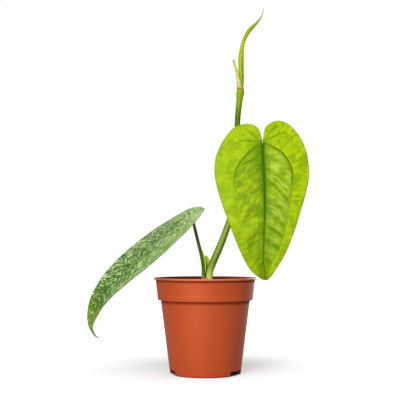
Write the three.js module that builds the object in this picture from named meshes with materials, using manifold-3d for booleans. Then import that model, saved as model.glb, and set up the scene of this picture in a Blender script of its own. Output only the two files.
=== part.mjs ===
// A young climbing aroid with two leaves and a rolled new leaf, in a plastic nursery pot.
// Millimetres, +Z up, -Y to the front and +X to the right. The origin is on the pot's axis, at the
// pot's underside.
import * as THREE from 'three';
import { mergeVertices } from 'three/addons/utils/BufferGeometryUtils.js';
import Module from 'manifold-3d';

const wasm = await Module();
wasm.setup();

// Driving dimensions: the pot. The radii are of its outer face.
const POT_HEIGHT = 111;
const RIM_RADIUS = 60;
const RIM_THICKNESS = 2;
const RIM_EDGE = 0.6;
const COLLAR_TOP_RADIUS = 57.9;
const COLLAR_FOOT_RADIUS = 55.2;
const COLLAR_FOOT = 85.3;
const COLLAR_EDGE = 0.5;
const BODY_TOP_RADIUS = 51.9;
const FOOT_RADIUS = 41;
const FOOT_EDGE = 0.8;
const POT_WALL = 1.2;
const POT_BASE = 1.5;
const POT_SIDES = 72;

// The four drain slots at the foot come in two pairs, opposite each other.
const SLOT_WIDTH = 24;
const SLOT_HEIGHT = 5;
const SLOT_DEPTH = 5;
const SLOT_CORNER = 2;
const SLOT_PAIR_AXIS = -97;
const SLOT_PAIR_SPREAD = 67.5;

// The gap between pieces that touch.
const GAP = 0.3;

// The potting mix: the height of its top, its rounded edge, and the radii of the top's rings. The
// top is uneven by waves of [rate along X, rate along Y, phase, height], which fade out over the last
// part of the radius.
const MIX_TOP = 98;
const MIX_EDGE = 1.2;
const MIX_WAVES = [
  [0.31, 0.27, 1.3, 0.45],
  [0.31, -0.27, 1.3, 0.45],
  [0.17, -0.45, 0, 0.55],
];
const MIX_FADE = 0.25;
const MIX_RINGS = [46, 38, 29, 20, 10, 0];
const MIX_SIDES = 48;

// The main stem: a route of points from inside the mix up to the node under the new leaf, and
// [height, radius] along it.
const STEM = {
  route: [
    [3, 0, 88],
    [4.5, 0, 110],
    [6, 0, 120],
    [9.1, 0.3, 129],
    [13.3, 0.8, 138.5],
    [20.3, 2, 155],
    [28.5, 4.2, 178.4],
    [33.8, 6, 203],
    [36.4, 7, 240],
    [38.2, 7, 292.6],
    [41, 6.5, 323.6],
    [42.2, 6, 333.6],
  ],
  radii: [
    [88, 3.4],
    [100, 4.2],
    [110, 3.9],
    [130, 4.3],
    [165, 4],
    [191, 3.9],
    [196, 4.8],
    [201, 3.9],
    [260, 3.7],
    [310, 3.6],
    [322, 4],
    [330, 4.8],
    [333.6, 4.5],
  ],
  sides: 12,
  steps: 48,
};

// The stalks of the two leaves: a route, and [part of the length, radius] along it.
const MOTTLED_STALK = {
  route: [
    [-3.4, -0.6, 90],
    [-2.7, -0.7, 104],
    [-2, -0.8, 118],
    [-2.9, -1, 129],
    [-5, -1, 139.5],
    [-7, -1, 147.5],
    [-11, -1.4, 163.5],
    [-14.8, -2, 178.5],
    [-18.4, -3.2, 185.4],
  ],
  radii: [
    [0, 1.9],
    [0.2, 2.1],
    [0.5, 2],
    [0.7, 1.8],
    [0.94, 1.8],
    [1, 2.2],
  ],
};
const HEART_STALK = {
  route: [
    [33, 4.6, 192],
    [38.2, 0.6, 201],
    [42.6, -5, 213],
    [47.6, -11.4, 228],
    [53.6, -18, 245],
    [59.4, -24, 258],
    [63.8, -29.4, 262.9],
    [65.4, -34.6, 263.6],
  ],
  radii: [
    [0, 2.9],
    [0.16, 2.6],
    [0.35, 2],
    [0.82, 1.9],
    [0.92, 2.5],
    [1, 2.3],
  ],
};
const STALK_SIDES = 10;
const STALK_STEPS = 28;

// The leaves. The midrib's route starts above the notch, between the lobes, has the notch at its
// second point and ends at the tip. An outline runs from beside the notch round one lobe and down to
// the tip, in [distance below the notch, distance from the midrib]. Along the part of the length
// from the notch to the tip, roll turns the blade about its midrib and lift raises both margins by
// that part of their distance. Between midrib and margin the blade bulges by valley.
const LEAF_THICKNESS = 0.8;
const LEAF_STEPS = 28;
const LEAF_RIBS = 6;
const LOBE_RIBS = 0.27;
const RIB_SWEEP = 1.3;
const HEART_LEAF = {
  route: [
    [65.65, -27.05, 293.7],
    [65.3, -34, 266.6],
    [66.5, -44, 224],
    [66.5, -51, 186.5],
    [65, -54.5, 155.3],
    [64.4, -55, 130],
    [65.8, -52.5, 116.6],
    [66.8, -47.5, 110.2],
    [67.2, -42.5, 110.4],
  ],
  across: [1, 0, 0],
  right: [
    [-5, 0.4],
    [-14.1, 1.4],
    [-21.7, 7.2],
    [-26.5, 18.9],
    [-22.4, 31],
    [-9.5, 41.9],
    [5, 47.8],
    [24.6, 51.2],
    [47.6, 49.8],
    [83.7, 39.1],
    [120.1, 27.5],
    [142, 16.5],
    [154, 7],
    [160, 2.6],
    [165.9, 0],
  ],
  left: [
    [-3.1, 1.2],
    [-12.8, 2.9],
    [-19.6, 9.4],
    [-21.5, 19.5],
    [-18, 31],
    [-9, 40.5],
    [4, 49.2],
    [20.8, 55.2],
    [45.9, 55],
    [86.1, 44.1],
    [122.1, 28.9],
    [142, 17.5],
    [154, 7.4],
    [160, 2.6],
    [165.9, 0],
  ],
  roll: [[0, 0]],
  lift: [[0, -0.1]],
  valley: 6,
};
const MOTTLED_OUTLINE = [
  [-3, 0.4],
  [-12, 1.2],
  [-16, 4.5],
  [-14.8, 11],
  [-7.3, 25],
  [1.5, 38.5],
  [14, 46.8],
  [39, 50],
  [66, 46.5],
  [100, 36.5],
  [130, 26.5],
  [155, 17],
  [172, 9.6],
  [186, 3.6],
  [196, 1.6],
  [204.5, 0],
];
const MOTTLED_LEAF = {
  route: [
    [-1.6, 0, 193.5],
    [-17.4, -3, 186.4],
    [-38.9, -6, 168.2],
    [-64.4, -7, 146],
    [-90.7, -4, 121.4],
    [-111.4, 1, 100],
    [-124.7, 6, 81.4],
    [-132, 10, 66.8],
    [-134.8, 13, 54.8],
    [-133, 14.5, 47.1],
    [-128.8, 16, 41],
    [-122.3, 18, 38.6],
  ],
  across: [0, -1, 0],
  right: MOTTLED_OUTLINE,
  left: MOTTLED_OUTLINE,
  roll: [[0, 13], [0.18, 17.5], [0.35, 21.5], [0.55, 27], [0.7, 33], [0.8, 39], [1, 45]],
  lift: [[0, -0.056], [0.18, -0.02], [0.34, 0], [0.5, 0.055], [0.62, 0.1], [0.8, 0.16], [1, 0]],
  valley: 2,
};

// The rolled new leaf, with a curled tip.
const NEW_LEAF = {
  route: [
    [42.5, 5.8, 334.2],
    [42.9, 5.2, 348],
    [42.5, 4, 367],
    [44, 3, 384],
    [47.6, 1, 395],
    [53, 0, 404],
    [61, -1.6, 412],
    [66.2, -2, 419],
    [69.2, -2, 429],
  ],
  radii: [
    [0, 2.9],
    [0.1, 3.1],
    [0.27, 3.2],
    [0.34, 3.8],
    [0.4, 3.7],
    [0.46, 3],
    [0.62, 2.4],
    [0.7, 2.7],
    [0.8, 1.7],
    [0.88, 0.9],
    [1, 0.3],
  ],
};

// Two thin scales: the sheath that the new leaf came out of, and the bract at the stem's foot. The
// cross-section is an arc about the route, open to one side. Its radius and its spread to each side,
// in degrees, change along the part of the length.
const SCALE_THICKNESS = 0.6;
const SHEATH = {
  route: [
    [42.3, 5.8, 335],
    [41.9, 5.2, 345],
    [40.5, 4, 355.5],
    [38.2, 2.4, 364.5],
    [37, 1.2, 369.4],
  ],
  opening: [1, -0.2, 0],
  radii: [[0, 4.3], [1, 2.7]],
  spread: [[0, 112], [0.3, 90], [0.6, 65], [0.85, 38], [1, 12]],
  sides: 8,
  steps: 12,
};
const BRACT = {
  route: [
    [0.8, 3.2, 93],
    [0.9, 3.2, 108],
    [1.4, 3, 122],
    [2, 2, 131.5],
    [1.7, 1, 135.8],
  ],
  opening: [0, -1, 0],
  radii: [[0, 4], [1, 3.5]],
  spread: [[0, 52], [0.5, 50], [0.8, 42], [0.92, 31], [1, 8]],
  sides: 6,
  steps: 12,
};

// The roots: main roots leave the crown at even turns, drop a little, run out and down past the
// heights of their shoulder and knee, and tuck in again at their ends. They have three reaches and
// four depths in turn. A short stub shows above the mix, in front of the stem.
const CROWN = { centre: [3, 0, 80], radius: 6, height: 7 };
const ROOT_COUNT = 8;
const ROOT_TURN = 137.5;
const ROOT_SWEEP = 0.012;
const ROOT_REACHES = [24, 27, 30];
const ROOT_DEPTHS = [12, 18, 24, 30];
const ROOT_DROP = 5;
const ROOT_SHOULDER = 50;
const ROOT_KNEE = 34;
const ROOT_TUCK = 5;
const ROOT_RADII = [2.1, 0.8];
const STUB = {
  route: [
    [2, -3.5, 82],
    [1.6, -7, 92],
    [1.2, -7.2, 103],
    [0.6, -6.1, 110.6],
  ],
  radii: [1.7, 1.3],
};

function route(points) {
  const corners = points.map((p) => new THREE.Vector3(...p));
  return new THREE.CatmullRomCurve3(corners, false, 'catmullrom', 0.5);
}

// Linear value at x in a list of [x, value].
function valueAt(list, x) {
  const next = list.findIndex(([edge]) => x <= edge);
  if (next < 0) return list.at(-1)[1];
  if (next === 0) return list[0][1];
  const [x0, v0] = list[next - 1];
  const [x1, v1] = list[next];
  return THREE.MathUtils.mapLinear(x, x0, x1, v0, v1);
}

function solidOf(geometry) {
  const bare = geometry.clone();
  bare.deleteAttribute('normal');
  bare.deleteAttribute('uv');
  const merged = mergeVertices(bare, 1e-3);
  return new wasm.Manifold(new wasm.Mesh({
    numProp: 3,
    vertProperties: new Float32Array(merged.attributes.position.array),
    triVerts: new Uint32Array(merged.index.array),
  }));
}

function geometryOf(solid) {
  const { numProp, vertProperties, triVerts } = solid.getMesh();
  const count = vertProperties.length / numProp;
  const positions = new Float32Array(count * 3);
  for (let i = 0; i < count; i++) {
    positions.set(vertProperties.subarray(i * numProp, i * numProp + 3), i * 3);
  }
  const geometry = new THREE.BufferGeometry();
  geometry.setAttribute('position', new THREE.BufferAttribute(positions, 3));
  geometry.setIndex(new THREE.BufferAttribute(new Uint32Array(triVerts), 1));
  geometry.computeVertexNormals();
  return geometry;
}

function surfaceOf(positions) {
  const geometry = new THREE.BufferGeometry();
  geometry.setAttribute('position', new THREE.Float32BufferAttribute(positions, 3));
  const merged = mergeVertices(geometry, 1e-3);
  merged.computeVertexNormals();
  return merged;
}

// A closed round stalk: a cylinder bent along a curve. radiusAt takes the part of the length and the
// point there.
function stalkGeometry(curve, radiusAt, sides, steps) {
  const geometry = new THREE.CylinderGeometry(1, 1, 1, sides, steps);
  const frames = curve.computeFrenetFrames(steps);
  const position = geometry.attributes.position;
  for (let i = 0; i < position.count; i++) {
    const step = Math.round((position.getY(i) + 0.5) * steps);
    const centre = curve.getPointAt(step / steps);
    const radius = radiusAt(step / steps, centre);
    const point = centre
      .addScaledVector(frames.normals[step], radius * position.getX(i))
      .addScaledVector(frames.binormals[step], -radius * position.getZ(i));
    position.setXYZ(i, point.x, point.y, point.z);
  }
  geometry.computeVertexNormals();
  return geometry;
}

// A revolved profile of [radius, height] points about the vertical axis.
function turned(profile, sides) {
  const points = profile.map(([radius, height]) => new THREE.Vector2(radius, height));
  return new THREE.LatheGeometry(points, sides).rotateX(Math.PI / 2);
}

function potGeometry() {
  const rimFoot = POT_HEIGHT - RIM_THICKNESS;
  const innerFoot = FOOT_RADIUS - POT_WALL;
  const outside = [
    [0, 0],
    [FOOT_RADIUS - FOOT_EDGE, 0],
    [FOOT_RADIUS, FOOT_EDGE],
    [BODY_TOP_RADIUS, COLLAR_FOOT],
    [COLLAR_FOOT_RADIUS - COLLAR_EDGE, COLLAR_FOOT],
    [COLLAR_FOOT_RADIUS, COLLAR_FOOT + COLLAR_EDGE],
    [COLLAR_TOP_RADIUS, rimFoot - COLLAR_EDGE],
    [RIM_RADIUS - RIM_EDGE, rimFoot],
    [RIM_RADIUS, rimFoot + RIM_EDGE],
    [RIM_RADIUS, POT_HEIGHT - RIM_EDGE],
    [RIM_RADIUS - RIM_EDGE, POT_HEIGHT],
  ];
  const inside = [
    [COLLAR_TOP_RADIUS - POT_WALL + RIM_EDGE, POT_HEIGHT],
    [COLLAR_TOP_RADIUS - POT_WALL, POT_HEIGHT - RIM_EDGE],
    [COLLAR_FOOT_RADIUS - POT_WALL, COLLAR_FOOT + POT_WALL + COLLAR_EDGE],
    [BODY_TOP_RADIUS - POT_WALL, COLLAR_FOOT + POT_WALL],
    [innerFoot, POT_BASE + FOOT_EDGE],
    [innerFoot - FOOT_EDGE, POT_BASE],
    [0, POT_BASE],
  ];
  return turned([...outside, ...inside], POT_SIDES);
}

// One drain slot: a rounded opening that runs outward through the wall and the base's edge.
function slotGeometry(angle) {
  const half = SLOT_WIDTH / 2;
  const cornerHeight = SLOT_HEIGHT - SLOT_CORNER;
  const shape = new THREE.Shape();
  shape.moveTo(-half, -1);
  shape.lineTo(half, -1);
  shape.lineTo(half, cornerHeight);
  shape.absarc(half - SLOT_CORNER, cornerHeight, SLOT_CORNER, 0, Math.PI / 2);
  shape.absarc(SLOT_CORNER - half, cornerHeight, SLOT_CORNER, Math.PI / 2, Math.PI);
  const bar = new THREE.ExtrudeGeometry(shape, {
    depth: SLOT_DEPTH * 2,
    bevelEnabled: false,
    curveSegments: 3,
  });
  // The shape's height turns to +Z and its depth to +X, then the bar goes out to the foot.
  bar.rotateX(Math.PI / 2).rotateZ(Math.PI / 2).translate(FOOT_RADIUS - SLOT_DEPTH, 0, 0);
  return bar.rotateZ(THREE.MathUtils.degToRad(angle));
}

function slottedPot() {
  let pot = solidOf(potGeometry());
  for (const side of [0, 180]) {
    for (const sign of [-1, 1]) {
      const angle = SLOT_PAIR_AXIS + side + sign * SLOT_PAIR_SPREAD;
      pot = pot.subtract(solidOf(slotGeometry(angle)));
    }
  }
  return geometryOf(pot);
}

// The unevenness of the mix's top.
function lump(x, y) {
  const fade = Math.max(0, 1 - Math.hypot(x, y) / COLLAR_FOOT_RADIUS) / MIX_FADE;
  const waves = MIX_WAVES.map(([alongX, alongY, phase, height]) => (
    height * Math.sin(alongX * x + alongY * y + phase)));
  return waves.reduce((sum, wave) => sum + wave, 0) * Math.min(1, fade);
}

// The mix follows the pot's inner face, one gap inside it.
function mixGeometry() {
  const inset = POT_WALL + GAP;
  const wallAt = (height) => THREE.MathUtils.mapLinear(
    height, 0, COLLAR_FOOT, FOOT_RADIUS, BODY_TOP_RADIUS) - inset - GAP;
  const collarAt = (height) => THREE.MathUtils.mapLinear(
    height, COLLAR_FOOT, POT_HEIGHT, COLLAR_FOOT_RADIUS, COLLAR_TOP_RADIUS) - inset - GAP;
  const bottom = POT_BASE + GAP;
  const ledge = COLLAR_FOOT + inset;
  const geometry = turned([
    [0, bottom],
    [wallAt(bottom) - MIX_EDGE, bottom],
    [wallAt(bottom + MIX_EDGE), bottom + MIX_EDGE],
    [wallAt(COLLAR_FOOT), ledge],
    [collarAt(ledge) - MIX_EDGE, ledge + MIX_EDGE],
    [collarAt(MIX_TOP - MIX_EDGE), MIX_TOP - MIX_EDGE],
    [collarAt(MIX_TOP) - MIX_EDGE, MIX_TOP],
    ...MIX_RINGS.map((radius) => [radius, MIX_TOP]),
  ], MIX_SIDES);
  const position = geometry.attributes.position;
  for (let i = 0; i < position.count; i++) {
    if (position.getZ(i) > MIX_TOP - MIX_EDGE / 2) {
      position.setZ(i, position.getZ(i) + lump(position.getX(i), position.getY(i)));
    }
  }
  return geometry;
}

// The roots with their crown. In this and the next functions, extra swells a piece, to make room for
// it in its neighbours.
function rootSolid(extra) {
  const [cx, cy, cz] = CROWN.centre;
  const crown = new THREE.SphereGeometry(1, 12, 8);
  crown.rotateX(Math.PI / 2);
  crown.scale(CROWN.radius + extra, CROWN.radius + extra, CROWN.height + extra);
  let roots = solidOf(crown.translate(cx, cy, cz));
  for (let i = 0; i < ROOT_COUNT; i++) {
    const start = THREE.MathUtils.degToRad(ROOT_TURN * i);
    const reach = ROOT_REACHES[i % ROOT_REACHES.length];
    const depth = ROOT_DEPTHS[i % ROOT_DEPTHS.length];
    const point = (distance, height) => {
      const angle = start + distance * ROOT_SWEEP;
      return [cx + distance * Math.cos(angle), cy + distance * Math.sin(angle), height];
    };
    const curve = route([
      point(CROWN.radius / 3, cz),
      point(CROWN.radius * 1.5, cz - ROOT_DROP),
      point(reach * 0.75, ROOT_SHOULDER),
      point(reach, ROOT_KNEE),
      point(reach - ROOT_TUCK, depth),
    ]);
    const radiusAt = (t) => THREE.MathUtils.lerp(...ROOT_RADII, t) + extra;
    roots = roots.add(solidOf(stalkGeometry(curve, radiusAt, 6, 8)));
  }
  const stubRadius = (t) => THREE.MathUtils.lerp(...STUB.radii, t) + extra;
  return roots.add(solidOf(stalkGeometry(route(STUB.route), stubRadius, 8, 8)));
}

function stemSolid(extra) {
  const radiusAt = (t, centre) => valueAt(STEM.radii, centre.z) + extra;
  return solidOf(stalkGeometry(route(STEM.route), radiusAt, STEM.sides, STEM.steps));
}

function stalkSolid(stalk, extra) {
  const radiusAt = (t) => valueAt(stalk.radii, t) + extra;
  return solidOf(stalkGeometry(route(stalk.route), radiusAt, STALK_SIDES, STALK_STEPS));
}

// A leaf's blade. Ribs run from the midrib to the margin, and those of the lobes fan out of the
// notch.
function bladeGeometry(leaf, thickness = LEAF_THICKNESS) {
  const curve = route(leaf.route);
  const whole = curve.getLength();
  const [upper, notch] = leaf.route.map((p) => new THREE.Vector3(...p));
  const lobes = upper.distanceTo(notch);
  const length = whole - lobes;
  const across = new THREE.Vector3(...leaf.across);
  const widest = Math.max(...leaf.right.map((p) => p[1]));

  function surface(along, aside, offset) {
    const u = THREE.MathUtils.clamp((along + lobes) / whole, 0, 1);
    const part = THREE.MathUtils.clamp(along / length, 0, 1);
    const tangent = curve.getTangentAt(u);
    const side = across.clone().addScaledVector(tangent, -across.dot(tangent)).normalize();
    const face = tangent.clone().cross(side);
    const roll = THREE.MathUtils.degToRad(valueAt(leaf.roll, part));
    const rolledSide = side.clone().multiplyScalar(Math.cos(roll)).addScaledVector(face, -Math.sin(roll));
    const rolledFace = face.multiplyScalar(Math.cos(roll)).addScaledVector(side, Math.sin(roll));
    const reach = Math.abs(aside) / widest;
    const rise = valueAt(leaf.lift, part) * Math.abs(aside) + leaf.valley * (reach - reach * reach);
    return curve.getPointAt(u)
      .addScaledVector(rolledSide, aside)
      .addScaledVector(rolledFace, rise + offset);
  }

  const positions = [];
  const triangle = (a, b, c) => {
    const small = 1e-3;
    if (a.distanceTo(b) < small || b.distanceTo(c) < small || c.distanceTo(a) < small) return;
    positions.push(...a, ...b, ...c);
  };
  const quad = (a, b, c, d, turnedOver) => {
    if (turnedOver) {
      triangle(a, b, c);
      triangle(a, c, d);
    } else {
      triangle(a, c, b);
      triangle(a, d, c);
    }
  };

  for (const [half, outline] of [[1, leaf.right], [-1, leaf.left]]) {
    const tip = outline.at(-1)[0];
    const spline = new THREE.SplineCurve(outline.map((p) => new THREE.Vector2(...p)));
    const grid = spline.getSpacedPoints(LEAF_STEPS).map((point, i) => {
      const past = Math.max(0, (i / LEAF_STEPS - LOBE_RIBS) / (1 - LOBE_RIBS));
      const start = tip * past ** RIB_SWEEP;
      return Array.from({ length: LEAF_RIBS + 1 }, (_, j) => {
        const along = THREE.MathUtils.lerp(start, point.x, j / LEAF_RIBS);
        const aside = half * point.y * (j / LEAF_RIBS);
        return [1, -1].map((face) => surface(along, aside, face * thickness / 2));
      });
    });
    const mirrored = half < 0;
    for (let i = 0; i < LEAF_STEPS; i++) {
      for (let j = 0; j < LEAF_RIBS; j++) {
        const corners = [grid[i][j], grid[i][j + 1], grid[i + 1][j + 1], grid[i + 1][j]];
        quad(...corners.map((c) => c[0]), mirrored);
        quad(...corners.map((c) => c[1]), !mirrored);
      }
      const [from, to] = [grid[i][LEAF_RIBS], grid[i + 1][LEAF_RIBS]];
      quad(from[0], from[1], to[1], to[0], mirrored);
    }
    for (let j = 0; j < LEAF_RIBS; j++) {
      const [from, to] = [grid[0][j], grid[0][j + 1]];
      quad(from[0], from[1], to[1], to[0], mirrored);
    }
  }
  return surfaceOf(positions);
}

// A thin boat-shaped scale along a route.
function scaleGeometry({ route: points, opening, radii, spread, sides, steps }, extra = 0) {
  const curve = route(points);
  const facing = new THREE.Vector3(...opening).normalize();
  const ring = (t) => {
    const centre = curve.getPointAt(t);
    const tangent = curve.getTangentAt(t);
    const front = facing.clone().addScaledVector(tangent, -facing.dot(tangent)).normalize();
    const side = tangent.clone().cross(front);
    const radius = valueAt(radii, t);
    const half = THREE.MathUtils.degToRad(valueAt(spread, t)) + extra / radius;
    const at = (angle, distance) => centre.clone()
      .addScaledVector(front, -distance * Math.cos(angle))
      .addScaledVector(side, distance * Math.sin(angle));
    const angles = Array.from({ length: sides + 1 }, (_, j) => half * (2 * j / sides - 1));
    return [
      ...angles.map((angle) => at(angle, radius + SCALE_THICKNESS + extra)),
      ...angles.reverse().map((angle) => at(angle, radius - extra)),
    ];
  };
  const rings = Array.from({ length: steps + 1 }, (_, k) => ring(k / steps));
  const positions = [];
  const count = rings[0].length;
  for (let k = 0; k < steps; k++) {
    for (let j = 0; j < count; j++) {
      const next = (j + 1) % count;
      const [a, b, c, d] = [rings[k][j], rings[k][next], rings[k + 1][next], rings[k + 1][j]];
      positions.push(...a, ...c, ...b, ...a, ...d, ...c);
    }
  }
  const [first, last] = [rings[0], rings[steps]];
  for (let j = 0; j < sides; j++) {
    const inner = count - 1 - j;
    positions.push(...first[j], ...first[j + 1], ...first[inner]);
    positions.push(...first[j + 1], ...first[inner - 1], ...first[inner]);
    positions.push(...last[j], ...last[inner], ...last[j + 1]);
    positions.push(...last[j + 1], ...last[inner], ...last[inner - 1]);
  }
  return surfaceOf(positions);
}

const plant = new THREE.Group();

function piece(name, shape, colour, roughness) {
  const geometry = shape instanceof THREE.BufferGeometry ? shape : geometryOf(shape);
  const material = new THREE.MeshStandardMaterial({ color: colour, roughness, metalness: 0 });
  const mesh = new THREE.Mesh(geometry, material);
  mesh.name = name;
  plant.add(mesh);
}

// The mix makes room for all that grows out of it, and the roots for the stem.
const stemRoom = stemSolid(GAP);
const mixRoom = rootSolid(GAP)
  .add(stemRoom)
  .add(stalkSolid(MOTTLED_STALK, GAP))
  .add(solidOf(scaleGeometry(BRACT, GAP)));
// A stalk ends one gap under the face of its blade.
const bladeRoom = (leaf) => solidOf(bladeGeometry(leaf, LEAF_THICKNESS + 2 * GAP));

piece('pot', slottedPot(), 0xc4522c, 0.45);
piece('potting_mix', solidOf(mixGeometry()).subtract(mixRoom), 0x3a2618, 0.95);
piece('roots', rootSolid(0).subtract(stemRoom), 0xc9a878, 0.8);
piece('main_stem', stemSolid(0), 0x6f9a2e, 0.5);
piece('mottled_leaf_stalk',
  stalkSolid(MOTTLED_STALK, 0).subtract(bladeRoom(MOTTLED_LEAF)), 0x3f6416, 0.5);
piece('heart_leaf_stalk',
  stalkSolid(HEART_STALK, 0).subtract(bladeRoom(HEART_LEAF)).subtract(stemRoom), 0x6f9a2e, 0.5);
piece('heart_leaf_blade', bladeGeometry(HEART_LEAF), 0xa0c814, 0.4);
piece('mottled_leaf_blade', bladeGeometry(MOTTLED_LEAF), 0x86b060, 0.4);
piece('new_leaf', stalkSolid(NEW_LEAF, 0), 0x9cc21c, 0.45);
piece('new_leaf_sheath', scaleGeometry(SHEATH), 0xd8d884, 0.6);
piece('base_bract', scaleGeometry(BRACT), 0xa4bc2c, 0.6);

export default plant;
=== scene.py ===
import math

import bmesh
import bpy
import numpy as np
from bpy.props import FloatProperty, FloatVectorProperty, IntProperty, PointerProperty
from bpy.types import NodeSocket, Operator, Panel, PropertyGroup
from mathutils import Euler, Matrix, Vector


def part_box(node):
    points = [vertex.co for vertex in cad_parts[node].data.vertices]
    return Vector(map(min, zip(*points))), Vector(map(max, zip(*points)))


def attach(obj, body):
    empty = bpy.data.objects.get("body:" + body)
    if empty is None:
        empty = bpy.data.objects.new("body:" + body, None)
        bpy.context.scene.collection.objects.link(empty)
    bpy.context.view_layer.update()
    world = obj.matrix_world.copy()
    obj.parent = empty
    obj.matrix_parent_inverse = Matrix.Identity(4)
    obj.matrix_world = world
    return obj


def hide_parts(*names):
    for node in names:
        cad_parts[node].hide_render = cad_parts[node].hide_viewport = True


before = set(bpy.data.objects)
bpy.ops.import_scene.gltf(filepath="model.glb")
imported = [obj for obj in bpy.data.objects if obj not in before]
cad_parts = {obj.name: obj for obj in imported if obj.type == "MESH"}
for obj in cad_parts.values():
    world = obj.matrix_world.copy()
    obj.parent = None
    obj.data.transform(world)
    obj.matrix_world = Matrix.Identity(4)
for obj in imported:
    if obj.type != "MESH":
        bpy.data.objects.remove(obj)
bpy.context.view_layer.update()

bl_info = {
    "name": "Potted climbing aroid",
    "version": (1, 0, 0),
    "blender": (4, 5, 0),
    "location": "3D View > Sidebar > Plant",
    "description": "Builds a young foliage plant in its nursery pot, piece by piece",
    "category": "Add Mesh",
}

# All routes, outlines and sizes in this file are in millimetres, +Z up and -Y to the front. The
# settings are in metres.
MM = 0.001
POT_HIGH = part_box("pot")[1]
BODY = "root"


def shade(red, green, blue):
    """A colour from its usual values of 0 to 255, in linear light."""
    return tuple(
        c / 255 / 12.92 if c < 10.4 else ((c / 255 + 0.055) / 1.055) ** 2.4
        for c in (red, green, blue))


def length_setting(name, description, default, low, high):
    return FloatProperty(name=name, description=description, default=default * MM,
                         min=low * MM, max=high * MM, subtype="DISTANCE", unit="LENGTH")


def count_setting(name, description, default, high):
    return IntProperty(name=name, description=description, default=default, min=0, max=high)


def power_setting(name, description, default):
    return FloatProperty(name=name, description=description, default=default, min=0, max=100,
                         unit="POWER")


def share_setting(name, description, default, high=1.0):
    return FloatProperty(name=name, description=description, default=default,
                         min=0, max=high, subtype="FACTOR")


def colour_setting(name, description, *values):
    return FloatVectorProperty(name=name, description=description, default=shade(*values),
                               min=0, max=1, size=3, subtype="COLOR")


# Settings

class PotSettings(PropertyGroup):
    """The nursery pot."""

    rim_radius: length_setting("Rim radius", "Outer radius of the lip", POT_HIGH.x / MM, 40, 90)
    height: length_setting("Height", "From the underside to the lip's top", POT_HIGH.z / MM,
                           80, 160)
    wall: length_setting("Wall", "Thickness of the wall", 1.2, 0.6, 3)
    slot_width: length_setting("Slot width", "Width of a drain slot at the foot", 25.5, 5, 30)
    slot_height: length_setting("Slot height", "Height of a drain slot", 5.8, 2, 10)
    colour: colour_setting("Colour", "Colour of the plastic", 188, 72, 26)
    # The inside colour is painted shade: the wall inside the pot, above the mix, is painted darker
    # and redder.
    inside: colour_setting("Inside", "Colour of the shadowed wall above the mix", 126, 32, 3)
    roughness: share_setting("Roughness", "How dull the plastic is", 0.46)


class MixSettings(PropertyGroup):
    """The potting mix and the roots in it."""

    top: length_setting("Top", "Height of the mix above the pot's underside", 98, 60, 108)
    chips: count_setting("Chips", "Number of bark chips on the top", 620, 900)
    crumbs: count_setting("Crumbs", "Number of crumbs of peat on the top", 2600, 3000)
    grains: count_setting("Grains", "Number of pale mineral grains on the top", 55, 200)
    peat: colour_setting("Peat", "Colour of the fine peat", 52, 34, 22)
    bark: colour_setting("Bark", "Colour of the bark chips", 112, 74, 46)
    grain: colour_setting("Grain", "Colour of the pale grains", 214, 208, 194)
    root: colour_setting("Root", "Colour of the roots", 214, 184, 132)


class StemSettings(PropertyGroup):
    """The stem, the leaf stalks, the rolled new leaf and the two thin scales."""

    stem: colour_setting("Stem", "Colour of the stem's upper part", 66, 112, 2)
    shoot: colour_setting("Stem top", "Colour of the stem under its top node", 138, 166, 4)
    foot: colour_setting("Stem foot", "Colour of the stem's lower part", 124, 150, 52)
    # The streak colour also paints the shade at the stem's sides.
    streak: colour_setting("Streak", "Colour of the stem's dark streaks", 54, 84, 16)
    node: colour_setting("Node", "Colour of the ring at the top node", 176, 136, 34)
    stalk: colour_setting("Mottled leaf's stalk", "Colour of the dark stalk", 72, 106, 18)
    wing: colour_setting("Wing", "Colour of the thin wing of that stalk", 172, 202, 44)
    new_leaf: colour_setting("New leaf", "Colour of the rolled new leaf", 158, 186, 6)
    sheath: colour_setting("Sheath", "Colour of the papery sheath", 204, 208, 112)
    bract: colour_setting("Bract", "Colour of the scale at the stem's foot", 178, 200, 34)


class LeafSettings(PropertyGroup):
    """The two leaf blades."""

    thickness: length_setting("Thickness", "Thickness of a blade by its midrib", 0.55, 0.3, 0.8)
    margin: length_setting("Margin", "Thickness of a blade at its margin", 0.28, 0.1, 0.6)
    quilting: length_setting("Quilting", "How far a blade bulges between its side veins",
                             0.7, 0, 2)
    heart: colour_setting("Heart leaf", "Main colour of the heart-shaped leaf", 166, 193, 13)
    heart_deep: colour_setting("Heart leaf's green", "Its deeper green", 114, 148, 4)
    heart_vein: colour_setting("Heart leaf's veins", "Colour of its veins", 74, 118, 0)
    # This silvery green is a painted sheen between the heart leaf's veins.
    heart_sheen: colour_setting("Heart leaf's bloom", "Silvery green between its veins",
                                170, 200, 84)
    mottled_pale: colour_setting("Mottled leaf", "Its pale ground", 174, 205, 127)
    mottled_deep: colour_setting("Mottled leaf's blotches", "Its dark blotches", 62, 108, 24)
    mottled_tail: colour_setting("Mottled leaf's tail", "Colour towards its tip", 126, 168, 34)


class StageSettings(PropertyGroup):
    """The floor and the lights."""

    floor: colour_setting("Floor", "Colour of the floor", 180, 181, 183)
    glow: share_setting("Floor's glow", "How far the floor is brought up to white", 0.62)
    key: power_setting("Main light", "Power of the light at the front left", 15.2)
    strip: power_setting("Strip light", "Power of the narrow light at the left", 0.5)
    top: power_setting("Top light", "Power of the light overhead", 10)
    fill: power_setting("Fill light", "Power of the light at the right", 0.4)
    back: power_setting("Back light", "Power of the light behind the plant", 9)
    around: share_setting("Surroundings", "Brightness of the surroundings", 0.13)
    mirrored: share_setting("Mirrored surroundings", "Their brightness in glossy surfaces", 0.6)


# Curves and fields

def unit(vectors):
    return vectors / np.linalg.norm(vectors, axis=-1, keepdims=True)


def square_to(tangent, aim):
    """The direction nearest to aim that is square to each tangent."""
    aim = np.array(aim, float)
    return unit(aim - tangent * (tangent @ aim)[..., None])


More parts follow.
